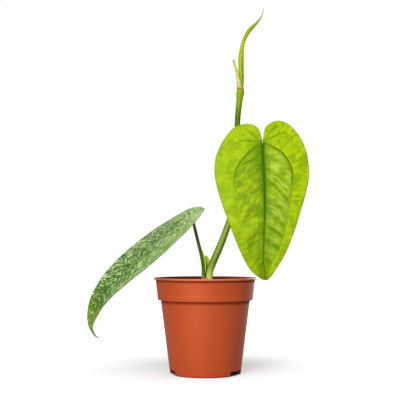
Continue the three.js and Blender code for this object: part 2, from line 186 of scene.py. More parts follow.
def smooth(low, high, x):
    """0 below low, 1 above high and a soft step between."""
    t = np.clip((x - low) / (high - low), 0, 1)
    return t * t * (3 - 2 * t)


def bead(x, width):
    """The height across a rounded bead or groove, 1 at its middle and about a third at width."""
    return np.exp(-(x / width) ** 2)


def flowing(pairs, x):
    """Values at x of a smooth curve through [x, value] pairs."""
    if len(pairs) == 1:
        return np.full(np.shape(x), float(pairs[0][1]))
    xs, ys = np.array(pairs, float).T
    slopes = np.gradient(ys, xs) if len(xs) > 2 else np.full(2, np.diff(ys)[0] / np.diff(xs)[0])
    x = np.clip(x, xs[0], xs[-1])
    i = np.clip(np.searchsorted(xs, x, side="right") - 1, 0, len(xs) - 2)
    wide = xs[i + 1] - xs[i]
    t = (x - xs[i]) / wide
    return ((1 + 2 * t) * (1 - t) ** 2 * ys[i] + t * (1 - t) ** 2 * wide * slopes[i]
            + t * t * (3 - 2 * t) * ys[i + 1] + t * t * (t - 1) * wide * slopes[i + 1])


class Route:
    """A smooth curve through points, read by its part of the length."""

    SPAN_STEPS = 48

    def __init__(self, points):
        corners = np.array(points, float)
        before = 2 * corners[0] - corners[1]
        after = 2 * corners[-1] - corners[-2]
        padded = np.vstack([before, corners, after])
        spans = len(corners) - 1
        t = np.linspace(0, spans, spans * self.SPAN_STEPS + 1)
        span = np.minimum(t.astype(int), spans - 1)
        w = (t - span)[:, None]
        p0, p1, p2, p3 = (padded[span + k] for k in range(4))
        leave, arrive = (p2 - p0) / 2, (p3 - p1) / 2
        self.points = ((2 * w ** 3 - 3 * w ** 2 + 1) * p1 + (w ** 3 - 2 * w ** 2 + w) * leave
                       + (3 * w ** 2 - 2 * w ** 3) * p2 + (w ** 3 - w ** 2) * arrive)
        self.tangents = unit((6 * w ** 2 - 6 * w) * p1 + (3 * w ** 2 - 4 * w + 1) * leave
                             + (6 * w - 6 * w ** 2) * p2 + (3 * w ** 2 - 2 * w) * arrive)
        steps = np.linalg.norm(np.diff(self.points, axis=0), axis=1)
        travelled = np.concatenate([[0], np.cumsum(steps)])
        self.length = travelled[-1]
        self.parts = travelled / self.length

    def at(self, part):
        return np.stack([np.interp(part, self.parts, c) for c in self.points.T], axis=-1)

    def tangent(self, part):
        return unit(np.stack([np.interp(part, self.parts, c) for c in self.tangents.T], axis=-1))


def even_turn(sides):
    return np.linspace(0, 2 * math.pi, sides, endpoint=False)


def waves(x, y, seed, count, longest):
    """Soft unevenness of about -1 to 1 from a few crossing waves, each shorter than the last."""
    rng = np.random.default_rng(seed)
    total = np.zeros(np.broadcast(x, y).shape)
    for k in range(count):
        heading, phase = rng.uniform(0, 2 * math.pi, 2)
        rate = 2 * math.pi / (longest * 0.72 ** k)
        total += 0.8 ** k * np.sin(rate * (x * math.cos(heading) + y * math.sin(heading)) + phase)
    return total / (0.55 * count)


# Meshes

WELD = 1e-4 * MM


class Shape:
    """Points, faces and surface values gathered for one mesh."""

    def __init__(self):
        self.points = []
        self.faces = []
        self.values = {}
        self.count = 0

    def add(self, points, faces, **values):
        """Adds points, faces that count from the first of them, and values that are given for
        each point or once for all."""
        points = np.asarray(points, float).reshape(-1, 3)
        for quads in faces:
            self.faces += (np.asarray(quads) + self.count).tolist()
        self.points.append(points)
        for name, value in values.items():
            value = np.asarray(value, float)
            wanted = (len(points), 3) if value.shape and value.shape[-1] == 3 else (len(points),)
            value = value.reshape(wanted) if value.size > 1 else np.full(wanted, float(value))
            self.values.setdefault(name, []).append(value)
        self.count += len(points)

    def mesh(self, name="piece"):
        mesh = bpy.data.meshes.new(name)
        mesh.from_pydata(np.concatenate(self.points) * MM, [], self.faces)
        for key, parts in self.values.items():
            value = np.concatenate(parts).astype(np.float32)
            if len(value) != self.count:
                raise ValueError(f"{name}: {key} is not given for every point")
            vector = value.ndim == 2
            layer = mesh.attributes.new(key, "FLOAT_VECTOR" if vector else "FLOAT", "POINT")
            layer.data.foreach_set("vector" if vector else "value", value.ravel())
        work = bmesh.new()
        work.from_mesh(mesh)
        bmesh.ops.remove_doubles(work, verts=work.verts, dist=WELD)
        bmesh.ops.dissolve_degenerate(work, edges=work.edges, dist=WELD)
        bmesh.ops.recalc_face_normals(work, faces=work.faces)
        work.to_mesh(mesh)
        work.free()
        return mesh


def grid(rows, columns, closed=False, start=0):
    """Quads of a grid of points. A closed one joins its last column to its first."""
    i, j = np.meshgrid(np.arange(rows - 1), np.arange(columns - (not closed)), indexing="ij")
    a = start + i * columns + j
    b = start + i * columns + (j + 1) % columns
    return np.stack([a, b, b + columns, a + columns], axis=-1).reshape(-1, 4)


def new_piece(mesh, name, material, sharp=None):
    """A shown piece that stands for the frame's node of the same name. sharp is the angle in
    degrees from which an edge stays sharp."""
    mesh.shade_smooth()
    if sharp is not None:
        mesh.set_sharp_from_angle(angle=math.radians(sharp))
    piece = bpy.data.objects.new(name + "_look", mesh)
    mesh.name = piece.name
    mesh.materials.clear()
    mesh.materials.append(material)
    bpy.context.scene.collection.objects.link(piece)
    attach(piece, BODY)
    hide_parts(name)


def turned(profile, sides):
    """A revolved profile of [radius, height] points whose ends are on the axis."""
    radius, height = np.array(profile, float).T
    angle = even_turn(sides)
    points = np.stack([radius[:, None] * np.cos(angle), radius[:, None] * np.sin(angle),
                       np.repeat(height[:, None], sides, axis=1)], axis=-1)
    return points, grid(len(profile), sides, closed=True)


def around(centre, front, side, distance, angle):
    """Points about each centre on a route, at a distance and at an angle from its front."""
    return (centre[:, None] + (distance * np.cos(angle))[..., None] * front[:, None]
            + (distance * np.sin(angle))[..., None] * side[:, None])


# how far along a round end its rings lie, and its length, as shares of its radius
CAP_STEPS = (0.35, 0.68, 0.9, 1.0)
CAP_LENGTH = 0.6
# radius of the straightened stalk that its finish is laid on
FLOW_RADIUS = 3


def tube(route, radius, facing, sides, steps, section=None, bend=0.0):
    """A closed stalk along a route with round ends. radius takes the part of the length, section
    takes part and angle and gives the share of the radius there. Angle 0 looks along facing, and
    the section turns by bend on the way. sides is a number of sides, or their angles. The flow
    values are places on a straightened stalk, along which its finish is drawn out."""
    part = np.linspace(0, 1, steps + 1)
    centre, tangent = route.at(part), route.tangent(part)
    size = radius(part)
    head = np.array(CAP_STEPS)
    foot = head[::-1]
    centre = np.vstack([centre[0] - tangent[0] * size[0] * CAP_LENGTH * foot[:, None], centre,
                        centre[-1] + tangent[-1] * size[-1] * CAP_LENGTH * head[:, None]])
    tangent = np.pad(tangent, ((len(foot), len(head)), (0, 0)), mode="edge")
    size = np.concatenate([size[0] * np.sqrt(1 - foot ** 2), size,
                           size[-1] * np.sqrt(1 - head ** 2)])
    part = np.pad(part, (len(foot), len(head)), mode="edge")
    front = square_to(tangent, facing)
    angle = even_turn(sides) if isinstance(sides, int) else sides
    sides, angle = len(angle), angle[None, :]
    far = size[:, None] * (1 if section is None else section(part[:, None], angle))
    turn = angle + bend * part[:, None]
    points = around(centre, front, np.cross(tangent, front), far, turn)
    along = part[:, None] * route.length
    flow = np.stack([FLOW_RADIUS * np.cos(angle) + 0 * along,
                     FLOW_RADIUS * np.sin(angle) + 0 * along, along + 0 * angle], axis=-1) * MM
    values = {"flow": flow, "part": part[:, None] + 0 * angle, "turn": np.cos(angle) + 0 * along}
    return points, [grid(len(part), sides, closed=True)], values


def shell(outer, inner):
    """A closed thin sheet from the grids of its two faces."""
    rows, columns = outer.shape[:2]
    half = rows * columns
    faces = [grid(rows, columns), grid(rows, columns, start=half)[:, ::-1]]
    index = np.arange(half).reshape(rows, columns)
    for edge in (index[0], index[-1], index[:, 0], index[:, -1]):
        faces.append(np.stack([edge[:-1], edge[1:], edge[1:] + half, edge[:-1] + half], axis=-1))
    return np.concatenate([outer.reshape(-1, 3), inner.reshape(-1, 3)]), faces


# Finishes

class Finish:
    """A material, with short ways to add its nodes. colour is what it has been painted so far."""

    def __init__(self, name, **settings):
        self.material = bpy.data.materials.new(name)
        self.material.use_nodes = True
        self.tree = self.material.node_tree
        self.shader = self.tree.nodes["Principled BSDF"]
        for socket, value in settings.items():
            self.shader.inputs[socket.replace("_", " ")].default_value = value

    def feed(self, socket, value):
        if isinstance(value, NodeSocket):
            self.tree.links.new(value, socket)
        elif hasattr(socket.default_value, "__len__") and len(socket.default_value) == 4:
            socket.default_value = (*value[:3], 1)
        else:
            socket.default_value = value

    def add(self, kind, feeds, **settings):
        node = self.tree.nodes.new("ShaderNode" + kind)
        for name, value in settings.items():
            setattr(node, name, value)
        for socket, value in feeds.items():
            self.feed(node.inputs[socket], value)
        return node

    def value(self, name):
        return self.add("Attribute", {}, attribute_name=name).outputs["Fac"]

    def vectors(self, operation, first, second=(0, 0, 0)):
        node = self.add("VectorMath", {0: first, 1: second}, operation=operation)
        return node.outputs["Value" if operation in ("LENGTH", "DOT_PRODUCT") else "Vector"]

    def vector(self, name, stretch=(1, 1, 1)):
        source = self.add("Attribute", {}, attribute_name=name).outputs["Vector"]
        return self.vectors("MULTIPLY", source, stretch)

    def place(self, stretch=(1, 1, 1)):
        source = self.add("TexCoord", {}).outputs["Object"]
        return self.vectors("MULTIPLY", source, stretch)

    def pick(self, vector, axis):
        return self.add("SeparateXYZ", {0: vector}).outputs[axis]

    def height(self):
        """Millimetres above the pot's underside."""
        return self.maths("DIVIDE", self.pick(self.place(), "Z"), MM)

    def out(self):
        """Millimetres from the pot's axis."""
        return self.maths("DIVIDE", self.vectors("LENGTH", self.place((1, 1, 0))), MM)

    def level(self, x, y):
        """A place from two (value, factor) pairs, for noise that follows the leaf's veins."""
        return self.add("CombineXYZ", {0: self.maths("MULTIPLY", *x),
                                       1: self.maths("MULTIPLY", *y)}).outputs[0]

    def maths(self, operation, first, second=0.0, third=0.0):
        node = self.add("Math", {0: first, 1: second, 2: third}, operation=operation)
        return node.outputs[0]

    def masked(self, value, *shares):
        for share in shares:
            value = self.maths("MULTIPLY", value, share)
        return value

    def strongest(self, value, *others):
        for other in others:
            value = self.maths("MAXIMUM", value, other)
        return value

    def weighed(self, first, *others):
        """The sum of (value, weight) pairs."""
        total = self.maths("MULTIPLY", *first)
        for value, weight in others:
            total = self.maths("MULTIPLY_ADD", value, weight, total)
        return total

    def noise(self, where, size, detail=2.0, roughness=0.5, distortion=0.0):
        """Noise with lumps of about size millimetres, 0 to 1."""
        node = self.add("TexNoise", {"Vector": where, "Scale": 1 / (size * MM), "Detail": detail,
                                     "Roughness": roughness, "Distortion": distortion})
        return node.outputs["Fac"]

    def cells(self, where, size):
        """The distance to the nearest edge between cells of about size millimetres."""
        node = self.add("TexVoronoi", {"Vector": where, "Scale": 1 / (size * MM)},
                        feature="DISTANCE_TO_EDGE")
        return node.outputs["Distance"]

    def step(self, value, low, high, start=0.0, end=1.0):
        """A soft step from start to end as value goes from low to high."""
        node = self.add("MapRange", {"Value": value, "From Min": low, "From Max": high,
                                     "To Min": start, "To Max": end},
                        interpolation_type="SMOOTHSTEP")
        return node.outputs["Result"]

    def zone(self, value, start, full, fade, end):
        """1 while value goes from full to fade, and 0 before start and past end."""
        return self.masked(self.step(value, start, full), self.step(value, end, fade))

    def blend(self, share, first, second):
        node = self.add("Mix", {0: share, 6: first, 7: second}, data_type="RGBA",
                        blend_type="MIX", clamp_factor=True)
        return node.outputs[2]

    def coat(self, tone, *shares):
        """Paints a tone over the colour so far, by the product of the shares."""
        self.colour = self.blend(self.masked(*shares), self.colour, tone)

    def bump(self, height, distance, strength=1.0, normal=None):
        """distance is how many millimetres a height of 1 stands out."""
        feeds = {"Height": height, "Distance": distance * MM, "Strength": strength}
        if normal is not None:
            feeds["Normal"] = normal
        return self.add("Bump", feeds).outputs["Normal"]

    def done(self, roughness, normal):
        self.feed(self.shader.inputs["Base Color"], self.colour)
        self.feed(self.shader.inputs["Roughness"], roughness)
        self.feed(self.shader.inputs["Normal"], normal)
        return self.material


def scaled(colour, share):
    """A lighter or darker tone of a colour."""
    return tuple(min(1.0, c * share) for c in colour)


LEAF_GLOSS = (0.78, 1.0, 0.12, 1)


# The pot

FOOT_RADIUS = 41
BODY_TOP_RADIUS = 51.9
COLLAR_FOOT = 85.3
COLLAR_FOOT_RADIUS = 55.2
COLLAR_TOP_RADIUS = 57.9
COLLAR_LEAN = 0.126
RIM_THICKNESS = 2.0
POT_BASE = 1.5
POT_SIDES = 288
SLOT_CORNER = 2.0
SLOT_DEPTH = 5.0
SLOT_LOW = -2
SLOT_ANGLES = [-97 - 67.5, -97 + 67.5, 83 - 67.5, 83 + 67.5]
RIPPLE = 0.1
# height and half width of each faint ring round the body
BODY_RINGS = [(79.5, 0.9), (11.5, 0.8)]
COLLAR_LINE = 91.9
# distance out, less the collar's lean, from which a point counts as the pot's inside
INSIDE_LEAN = [44.1, 43.7]
# heights at which a zone starts, is full, fades and ends; the step and lip zones are painted shade
# under the collar's step and under the lip
COLLAR_BAND = [85.0, 86.0, 91.2, 92.2]
STEP_SHADE = [79.6, 84.2, 85.1, 85.6]
LIP_SHADE = [105.8, 106.6, 108.1, 109.0]


def corner(centre, radius, start, end, steps=5):
    """Points of a rounded corner, with its angles in degrees."""
    angles = np.radians(np.linspace(start, end, steps))
    return [[centre[0] + radius * math.cos(a), centre[1] + radius * math.sin(a)] for a in angles]


def between(first, last, steps, ripple=None):
    """Points on a line between two corners, without its ends."""
    made = []
    for t in np.linspace(0, 1, steps + 1)[1:-1]:
        radius = first[0] + (last[0] - first[0]) * t
        height = first[1] + (last[1] - first[1]) * t
        made.append([radius + (ripple(height) if ripple else 0.0), height])
    return made


def pot_profile(rim, height, wall):
    """The pot's outline, from the middle of its underside up to the lip and back down inside."""
    rim_foot = height - RIM_THICKNESS
    inner_foot = FOOT_RADIUS - wall

    def body_ripple(z):
        return RIPPLE * sum(bead(z - ring, width) for ring, width in BODY_RINGS)

    def collar_ripple(z):
        step = 0.08 * smooth(COLLAR_LINE - 0.1, COLLAR_LINE - 0.9, z)
        return step - 0.07 * bead(z - COLLAR_LINE, 0.35)

    body = [[FOOT_RADIUS + 0.12, 1.1], [BODY_TOP_RADIUS - 0.06, COLLAR_FOOT - 0.7]]
    collar = [[COLLAR_FOOT_RADIUS + 0.08, COLLAR_FOOT + 0.8],
              [COLLAR_TOP_RADIUS - 0.1, rim_foot - 0.9]]
    outside = [
        [0, 0.9], [6, 0.9], [6.6, 0.78], [7.2, 0.78], [7.8, 0.9], [20, 0.9], [33.6, 0.9],
        [34.6, 0.8], [35.2, 0.35], [35.6, 0.08], [36.2, 0], [39.4, 0],
        *corner([FOOT_RADIUS - 1.05, 1.0], 1.0, -80, 0),
        body[0], *between(*body, 64, body_ripple), body[1],
        *corner([BODY_TOP_RADIUS + 0.55, COLLAR_FOOT - 0.55], 0.55, 175, 95, 4),
        [BODY_TOP_RADIUS + 1.4, COLLAR_FOOT],
        *corner([COLLAR_FOOT_RADIUS - 0.6, COLLAR_FOOT + 0.6], 0.6, -90, 0),
        collar[0], *between(*collar, 60, collar_ripple), collar[1],
        [COLLAR_TOP_RADIUS - 0.25, rim_foot - 0.5], [COLLAR_TOP_RADIUS - 0.1, rim_foot - 0.1],
        [COLLAR_TOP_RADIUS + 0.5, rim_foot],
        *corner([rim - 0.4, rim_foot + 0.4], 0.4, -88, 0, 4),
        *corner([rim - 1.1, height - 1.1], 1.1, 0, 90, 8),
    ]
    lip = COLLAR_TOP_RADIUS - wall
    inside = [
        *corner([lip + 0.7, height - 0.7], 0.7, 90, 175, 6),
        *between([lip, height - 1.2],
                 [COLLAR_FOOT_RADIUS - wall + 0.1, COLLAR_FOOT + wall + 1], 14),
        *corner([COLLAR_FOOT_RADIUS - wall - 0.9, COLLAR_FOOT + wall + 0.9], 0.9, 0, -80),
        [BODY_TOP_RADIUS - wall + 0.4, COLLAR_FOOT + wall - 0.1],
        *between([BODY_TOP_RADIUS - wall, COLLAR_FOOT + wall - 0.6],
                 [inner_foot, POT_BASE + 0.8], 14),
        [inner_foot - 0.8, POT_BASE + 0.05], [20, POT_BASE], [0, POT_BASE],
    ]
    return outside + inside


def slot_cutter(width, height, angle):
    """A bar with two rounded upper corners, from inside the pot's foot outwards."""
    half = width / 2
    section = [[-half, SLOT_LOW], [half, SLOT_LOW]]
    section += corner([half - SLOT_CORNER, height - SLOT_CORNER], SLOT_CORNER, 0, 90, 6)
    section += corner([SLOT_CORNER - half, height - SLOT_CORNER], SLOT_CORNER, 90, 180, 6)
    near, far = FOOT_RADIUS - SLOT_DEPTH, FOOT_RADIUS + SLOT_DEPTH
    across = unit(np.array([-math.sin(angle), math.cos(angle), 0.0]))
    out = np.array([math.cos(angle), math.sin(angle), 0.0])
    rings = [[out * reach + across * y + np.array([0, 0, z]) for y, z in section]
             for reach in (near, far)]
    shape = Shape()
    count = len(section)
    shape.add(np.array(rings), [grid(2, count, closed=True)])
    shape.faces += [list(range(count))[::-1], list(range(count, 2 * count))]
    return shape.mesh()


def pot_finish(settings):
    finish = Finish("satin pot plastic", Specular_IOR_Level=1.0, IOR=1.6,
                    Specular_Tint=(1.0, 0.45, 0.27, 1))
    where, height, out = finish.place(), finish.height(), finish.out()
    drift = finish.noise(finish.place((1, 1, 0.22)), 26, 3)
    rings = finish.noise(finish.place((0.05, 0.05, 1)), 1.1, 2, 0.6)
    specks = finish.noise(where, 0.9, 2, 0.65)
    finish.colour = scaled(settings.colour, 1.05)
    finish.coat(scaled(settings.colour, 0.86), finish.step(drift, 0.3, 0.7, 0, 0.5))
    finish.coat(scaled(settings.colour, 1.22), finish.zone(height, *COLLAR_BAND), 0.12)
    finish.coat(scaled(settings.colour, 1.3), finish.step(rings, 0.5, 0.74, 0, 0.16))
    finish.coat(scaled(settings.colour, 0.7), finish.step(specks, 0.62, 0.74, 0, 0.2))
    # Painted shade: the wall inside the pot, above the mix, takes the darker inside colour.
    lean = finish.maths("MULTIPLY_ADD", height, -COLLAR_LEAN, out)
    inner = finish.masked(finish.step(lean, *INSIDE_LEAN), finish.step(height, 84, 88))
    finish.coat(settings.inside, inner)
    # Painted shade: darker bands under the collar's step and under the lip, where their overhangs
    # shade the wall.
    painted_shade = finish.strongest(finish.zone(height, *STEP_SHADE), finish.zone(height, *LIP_SHADE))
    finish.coat(scaled(settings.inside, 0.9), painted_shade, 0.85)
    # Painted highlight: a pale pink line along the top of the lip.
    lip_highlight = finish.masked(finish.step(height, 108.9, 109.6), finish.step(out, 57.4, 58.0))
    finish.coat(shade(216, 118, 84), lip_highlight, 0.6)
    # Painted shade: the cut walls of the drain slots are painted dark red.
    slot_wall_shade = finish.masked(finish.step(height, 6.8, 5.8), finish.step(out, 41.2, 40.8))
    finish.coat(shade(130, 22, 0), slot_wall_shade)
    finish.coat(shade(120, 58, 36), finish.step(height, 2.5, 0.0, 0, 0.35))
    rough = finish.maths("ADD", finish.step(drift, 0.3, 0.7, -0.04, 0.05), settings.roughness)
    rough = finish.maths("ADD", rough, finish.step(specks, 0.6, 0.75, 0, 0.12))
    rough = finish.maths("MULTIPLY_ADD", finish.strongest(inner, painted_shade), 0.5, rough)
    grain = finish.bump(finish.noise(where, 0.45, 3, 0.6), 0.03, 0.5)
    return finish.done(rough, finish.bump(rings, 0.02, 0.5, grain))


class PLANT_OT_pot(Operator):
    """Turn the nursery pot, with its lip, stacking collar, foot and drain slots"""

    bl_idname = "plant.pot"
    bl_label = "Pot"

    def execute(self, context):
        settings = context.scene.plant_pot
        shape = Shape()
        profile = pot_profile(settings.rim_radius / MM, settings.height / MM, settings.wall / MM)
        points, quads = turned(profile, POT_SIDES)
        shape.add(points, [quads])
        pot = bpy.data.objects.new("pot blank", shape.mesh())
        context.scene.collection.objects.link(pot)
        cutters = []
        for angle in SLOT_ANGLES:
            mesh = slot_cutter(settings.slot_width / MM, settings.slot_height / MM,
                               math.radians(angle))
            cutter = bpy.data.objects.new("slot cutter", mesh)
            context.scene.collection.objects.link(cutter)
            cut = pot.modifiers.new("drain slot", "BOOLEAN")
            cut.operation, cut.solver, cut.object = "DIFFERENCE", "EXACT", cutter
            cutters.append(cutter)
        graph = context.evaluated_depsgraph_get()
        mesh = bpy.data.meshes.new_from_object(pot.evaluated_get(graph))
        for spare in [pot, *cutters]:
            bpy.data.objects.remove(spare)
        if len(mesh.polygons) < POT_SIDES:
            raise RuntimeError("the drain slots could not be cut")
        new_piece(mesh, "pot", pot_finish(settings), sharp=38)
        return {"FINISHED"}


# The potting mix and the roots

MIX_WALL_GAP = 0.35
MIX_SEED = 11
MIX_REACH = 53.5
MIX_DIP = 0.6
MIX_SIDES = 160
MIX_RINGS = 34
# detail of the ball that lumps of this kind start from, the ranges of their size, of their height
# as a share of it and of their tone, and how high they sit on the mix as a share of their size
LUMPS = {
    "crumbs": (1, (0.6, 1.7), (0.5, 0.9), (0, 0.6), (0.1, 0.7)),
    "chips": (2, (1.8, 5.2), (0.2, 0.4), (0.25, 1.1), (0.05, 0.3)),
    "grains": (2, (1.0, 2.2), (0.6, 0.95), (1.8, 2), (0.5, 1.1)),
}
CROWN_CENTRE = [3, 0, 80]
CROWN_SIZE = [6, 6, 7]
ROOT_COUNT = 8
ROOT_TURN = 137.5
ROOT_SWEEP = 0.012
ROOT_REACHES = [24, 27, 30]
ROOT_DEPTHS = [12, 18, 24, 30]
ROOT_SIDES, ROOT_STEPS = 16, 90
STUB_SIDES, STUB_STEPS = 24, 60
STUB = [[2, -3.5, 82], [1.6, -7, 92], [1.2, -7.2, 103], [0.6, -6.1, 110.6]]


def pebble(detail):
    """Points and triangles of a ball, which each chip and crumb starts from."""
    work = bmesh.new()
    bmesh.ops.create_icosphere(work, subdivisions=detail, radius=1)
    points = np.array([v.co[:] for v in work.verts])
    faces = np.array([[v.index for v in f.verts] for f in work.faces])
    work.free()
    return points, faces


def mix_height(x, y, top):
    return top - MIX_DIP + 0.9 * waves(x, y, MIX_SEED, 5, 44)


def scatter(shape, rng, count, top, detail, sizes, flat, tones, sitting):
    """Lumps of one kind on the mix's top."""
    points, faces = pebble(detail)
    for _ in range(count):
        size = rng.uniform(*sizes)
        distance = (MIX_REACH - size) * math.sqrt(rng.uniform(0, 1))
        heading = rng.uniform(0, 2 * math.pi)
        x, y = distance * math.cos(heading), distance * math.sin(heading)
        lump = points * (1 + 0.28 * rng.uniform(-1, 1, (len(points), 1)))
        lump = lump * np.array([1, rng.uniform(0.45, 0.95), rng.uniform(*flat)]) * size
        turn = Euler((rng.normal(0, 0.35), rng.normal(0, 0.35), rng.uniform(0, 6.28)))
        lump = lump @ np.array(turn.to_matrix()).T
        lump += [x, y, mix_height(x, y, top) + size * rng.uniform(*sitting)]
        shape.add(lump, [faces], tone=rng.uniform(*tones))


def mix_finish(settings):
    finish = Finish("bark and peat", Specular_IOR_Level=0.25)
    tone, where = finish.value("tone"), finish.place()
    grain = finish.noise(where, 1.6, 4, 0.65)
    fibre = finish.noise(finish.place((1, 0.25, 1)), 0.7, 3, 0.6)
    bark = finish.blend(finish.step(fibre, 0.35, 0.65), scaled(settings.bark, 0.6), settings.bark)
    finish.colour = settings.peat
    finish.coat(bark, finish.step(tone, 0.1, 0.85))
    finish.coat(scaled(settings.peat, 0.5), finish.step(grain, 0.4, 0.7, 0, 0.55))
    finish.coat(settings.grain, finish.step(tone, 1.4, 1.6))
    # Painted shade: the mix low in the pot, seen through the drain slots, is painted dark
    # red-brown.
    mix_slot_shade = finish.step(finish.height(), 16, 8)
    finish.coat(shade(52, 8, 0), mix_slot_shade)
    rough = finish.step(grain, 0.2, 0.8, 0.8, 0.98)
    return finish.done(rough, finish.bump(finish.noise(where, 0.6, 4, 0.7), 0.35, 0.8))


def root_finish(settings):
    finish = Finish("pale root", Specular_IOR_Level=0.4)
    skin = finish.noise(finish.vector("flow", (1, 1, 0.2)), 1.3, 3, 0.6)
    rings = finish.noise(finish.vector("flow", (0.1, 0.1, 1)), 0.9, 2)
    finish.colour = settings.root
    finish.coat(scaled(settings.root, 0.62), finish.step(skin, 0.35, 0.7))
    stub_end = finish.step(finish.value("part"), 0.82, 1.0)
    finish.coat(shade(206, 128, 58), stub_end, finish.value("tip"))
    rough = finish.step(skin, 0.3, 0.7, 0.5, 0.75)
    return finish.done(rough, finish.bump(rings, 0.12, 0.7, finish.bump(skin, 0.08, 0.6)))


class PLANT_OT_potting_mix(Operator):
    """Fill the pot with potting mix and strew its top with chips, crumbs and grains"""

    bl_idname = "plant.potting_mix"
    bl_label = "Potting mix"

    def execute(self, context):
        settings = context.scene.plant_mix
        wall = context.scene.plant_pot.wall / MM + MIX_WALL_GAP
        top = settings.top / MM

        def body_at(z):
            return np.interp(z, [0, COLLAR_FOOT], [FOOT_RADIUS, BODY_TOP_RADIUS]) - wall

        def collar_at(z):
            return np.interp(z, [COLLAR_FOOT, POT_HIGH.z / MM],
                             [COLLAR_FOOT_RADIUS, COLLAR_TOP_RADIUS]) - wall

        ledge = COLLAR_FOOT + wall
        profile = [[0, POT_BASE + 0.3], [body_at(2) - 1.6, POT_BASE + 0.3], [body_at(3.4), 3.4],
                   *between([body_at(3.4), 3.4], [body_at(80), 80], 8), [body_at(80), 80],
                   [body_at(COLLAR_FOOT) - 0.4, ledge], [collar_at(ledge) - 1.6, ledge + 1.6],
                   [collar_at(top - 2.2) - 0.3, top - 2.2], [collar_at(top) - 0.9, top - 1.0]]
        rim = profile[-1][0]
        across = np.linspace(0, 1, MIX_RINGS)[1:]
        profile += [[rim * (1 - t), top - MIX_DIP] for t in across]
        points, quads = turned(profile, MIX_SIDES)
        x, y, z = np.moveaxis(points, -1, 0)
        inner = smooth(0, 2.5, rim - np.hypot(x, y))
        uneven = mix_height(x, y, top) - (top - MIX_DIP)
        fine = 0.35 * waves(x, y, MIX_SEED + 1, 9, 7)
        points[..., 2] += np.where(z > top - 1.05, (uneven + fine) * inner, 0)
        shape = Shape()
        shape.add(points, [quads], tone=0.12)
        rng = np.random.default_rng(MIX_SEED)
        for kind, ranges in LUMPS.items():
            scatter(shape, rng, getattr(settings, kind), top, *ranges)
        new_piece(shape.mesh(), "potting_mix", mix_finish(settings), sharp=32)
        return {"FINISHED"}


class PLANT_OT_roots(Operator):
    """Grow the roots in the mix, with the short root stub that shows above it"""

    bl_idname = "plant.roots"
    bl_label = "Roots"

    def execute(self, context):
        cx, cy, cz = CROWN_CENTRE
        shape = Shape()
        points, faces = pebble(4)
        uneven = 1 + 0.03 * waves(points[:, :1] * 9, points[:, 1:2] * 9, 3, 4, 7)
        shape.add(points * CROWN_SIZE * uneven + CROWN_CENTRE, [faces],
                  flow=points * FLOW_RADIUS * MM, part=0, turn=0, tip=0)
        for i in range(ROOT_COUNT):
            reach = ROOT_REACHES[i % len(ROOT_REACHES)]
            depth = ROOT_DEPTHS[i % len(ROOT_DEPTHS)]
            stops = [(2, cz), (9, cz - 5), (reach * 0.75, 50), (reach, 34), (reach - 5, depth)]
            line = []
            for distance, height in stops:
                angle = math.radians(ROOT_TURN * i) + distance * ROOT_SWEEP
                line.append([cx + distance * math.cos(angle), cy + distance * math.sin(angle),
                             height])

            def radius(part, i=i):
                return (2.1 - 1.3 * part) * (1 + 0.05 * np.sin(41 * part + i))

            made, quads, values = tube(Route(line), radius, (0.3, 0.2, 1), ROOT_SIDES, ROOT_STEPS)
            shape.add(made, quads, **values, tip=0)

        def stub_radius(part):
            return (1.75 - 0.4 * part) * (1 + 0.03 * np.sin(26 * part))

        made, quads, values = tube(Route(STUB), stub_radius, (0, -1, 0), STUB_SIDES, STUB_STEPS)
        shape.add(made, quads, **values, tip=1)
        new_piece(shape.mesh(), "roots", root_finish(context.scene.plant_mix))
        return {"FINISHED"}


# The stem and the stalks

STEM = {
    "route": [[3, 0, 88], [4.5, 0, 110], [6, 0, 120], [9.1, 0.3, 129], [13.3, 0.8, 138.5],
              [20.3, 2, 155], [28.5, 4.2, 178.4], [33.8, 6, 203], [36.4, 7, 240],
              [38.2, 7, 292.6], [41, 6.5, 323.6], [42.2, 6, 333.6]],
    "radii": [[88, 3.4], [100, 4.2], [110, 3.9], [130, 4.3], [165, 4], [191, 3.9], [196, 4.8],
              [201, 3.9], [260, 3.7], [310, 3.6], [322, 4], [330, 4.8], [333.6, 4.5]],
}
NODE_HEIGHTS = [117.5, 196.0, 331.8]
STEM_SIDES, STEM_STEPS = 64, 420
STALK_SIDES, STALK_STEPS = 40, 200
STALK_GROOVE = 0.16
MOTTLED_STALK = {
    "route": [[-3.4, -0.6, 90], [-2.7, -0.7, 104], [-2, -0.8, 118], [-2.9, -1, 129],
              [-5, -1, 139.5], [-7, -1, 147.5], [-11, -1.4, 163.5], [-14.8, -2, 178.5],
              [-18.4, -3.2, 185.4]],
    "radii": [[0, 2], [0.2, 2.2], [0.5, 2.15], [0.7, 2], [0.94, 2], [1, 2.3]],
}
HEART_STALK = {
    "route": [[33, 4.6, 192], [38.2, 0.6, 201], [42.6, -5, 213], [47.6, -11.4, 228],
              [53.6, -18, 245], [59.4, -24, 258], [63.8, -29.4, 262.9], [65.4, -34.6, 263.6]],
    "radii": [[0, 2.9], [0.16, 2.6], [0.35, 2], [0.82, 1.9], [0.92, 2.5], [1, 2.3]],
}


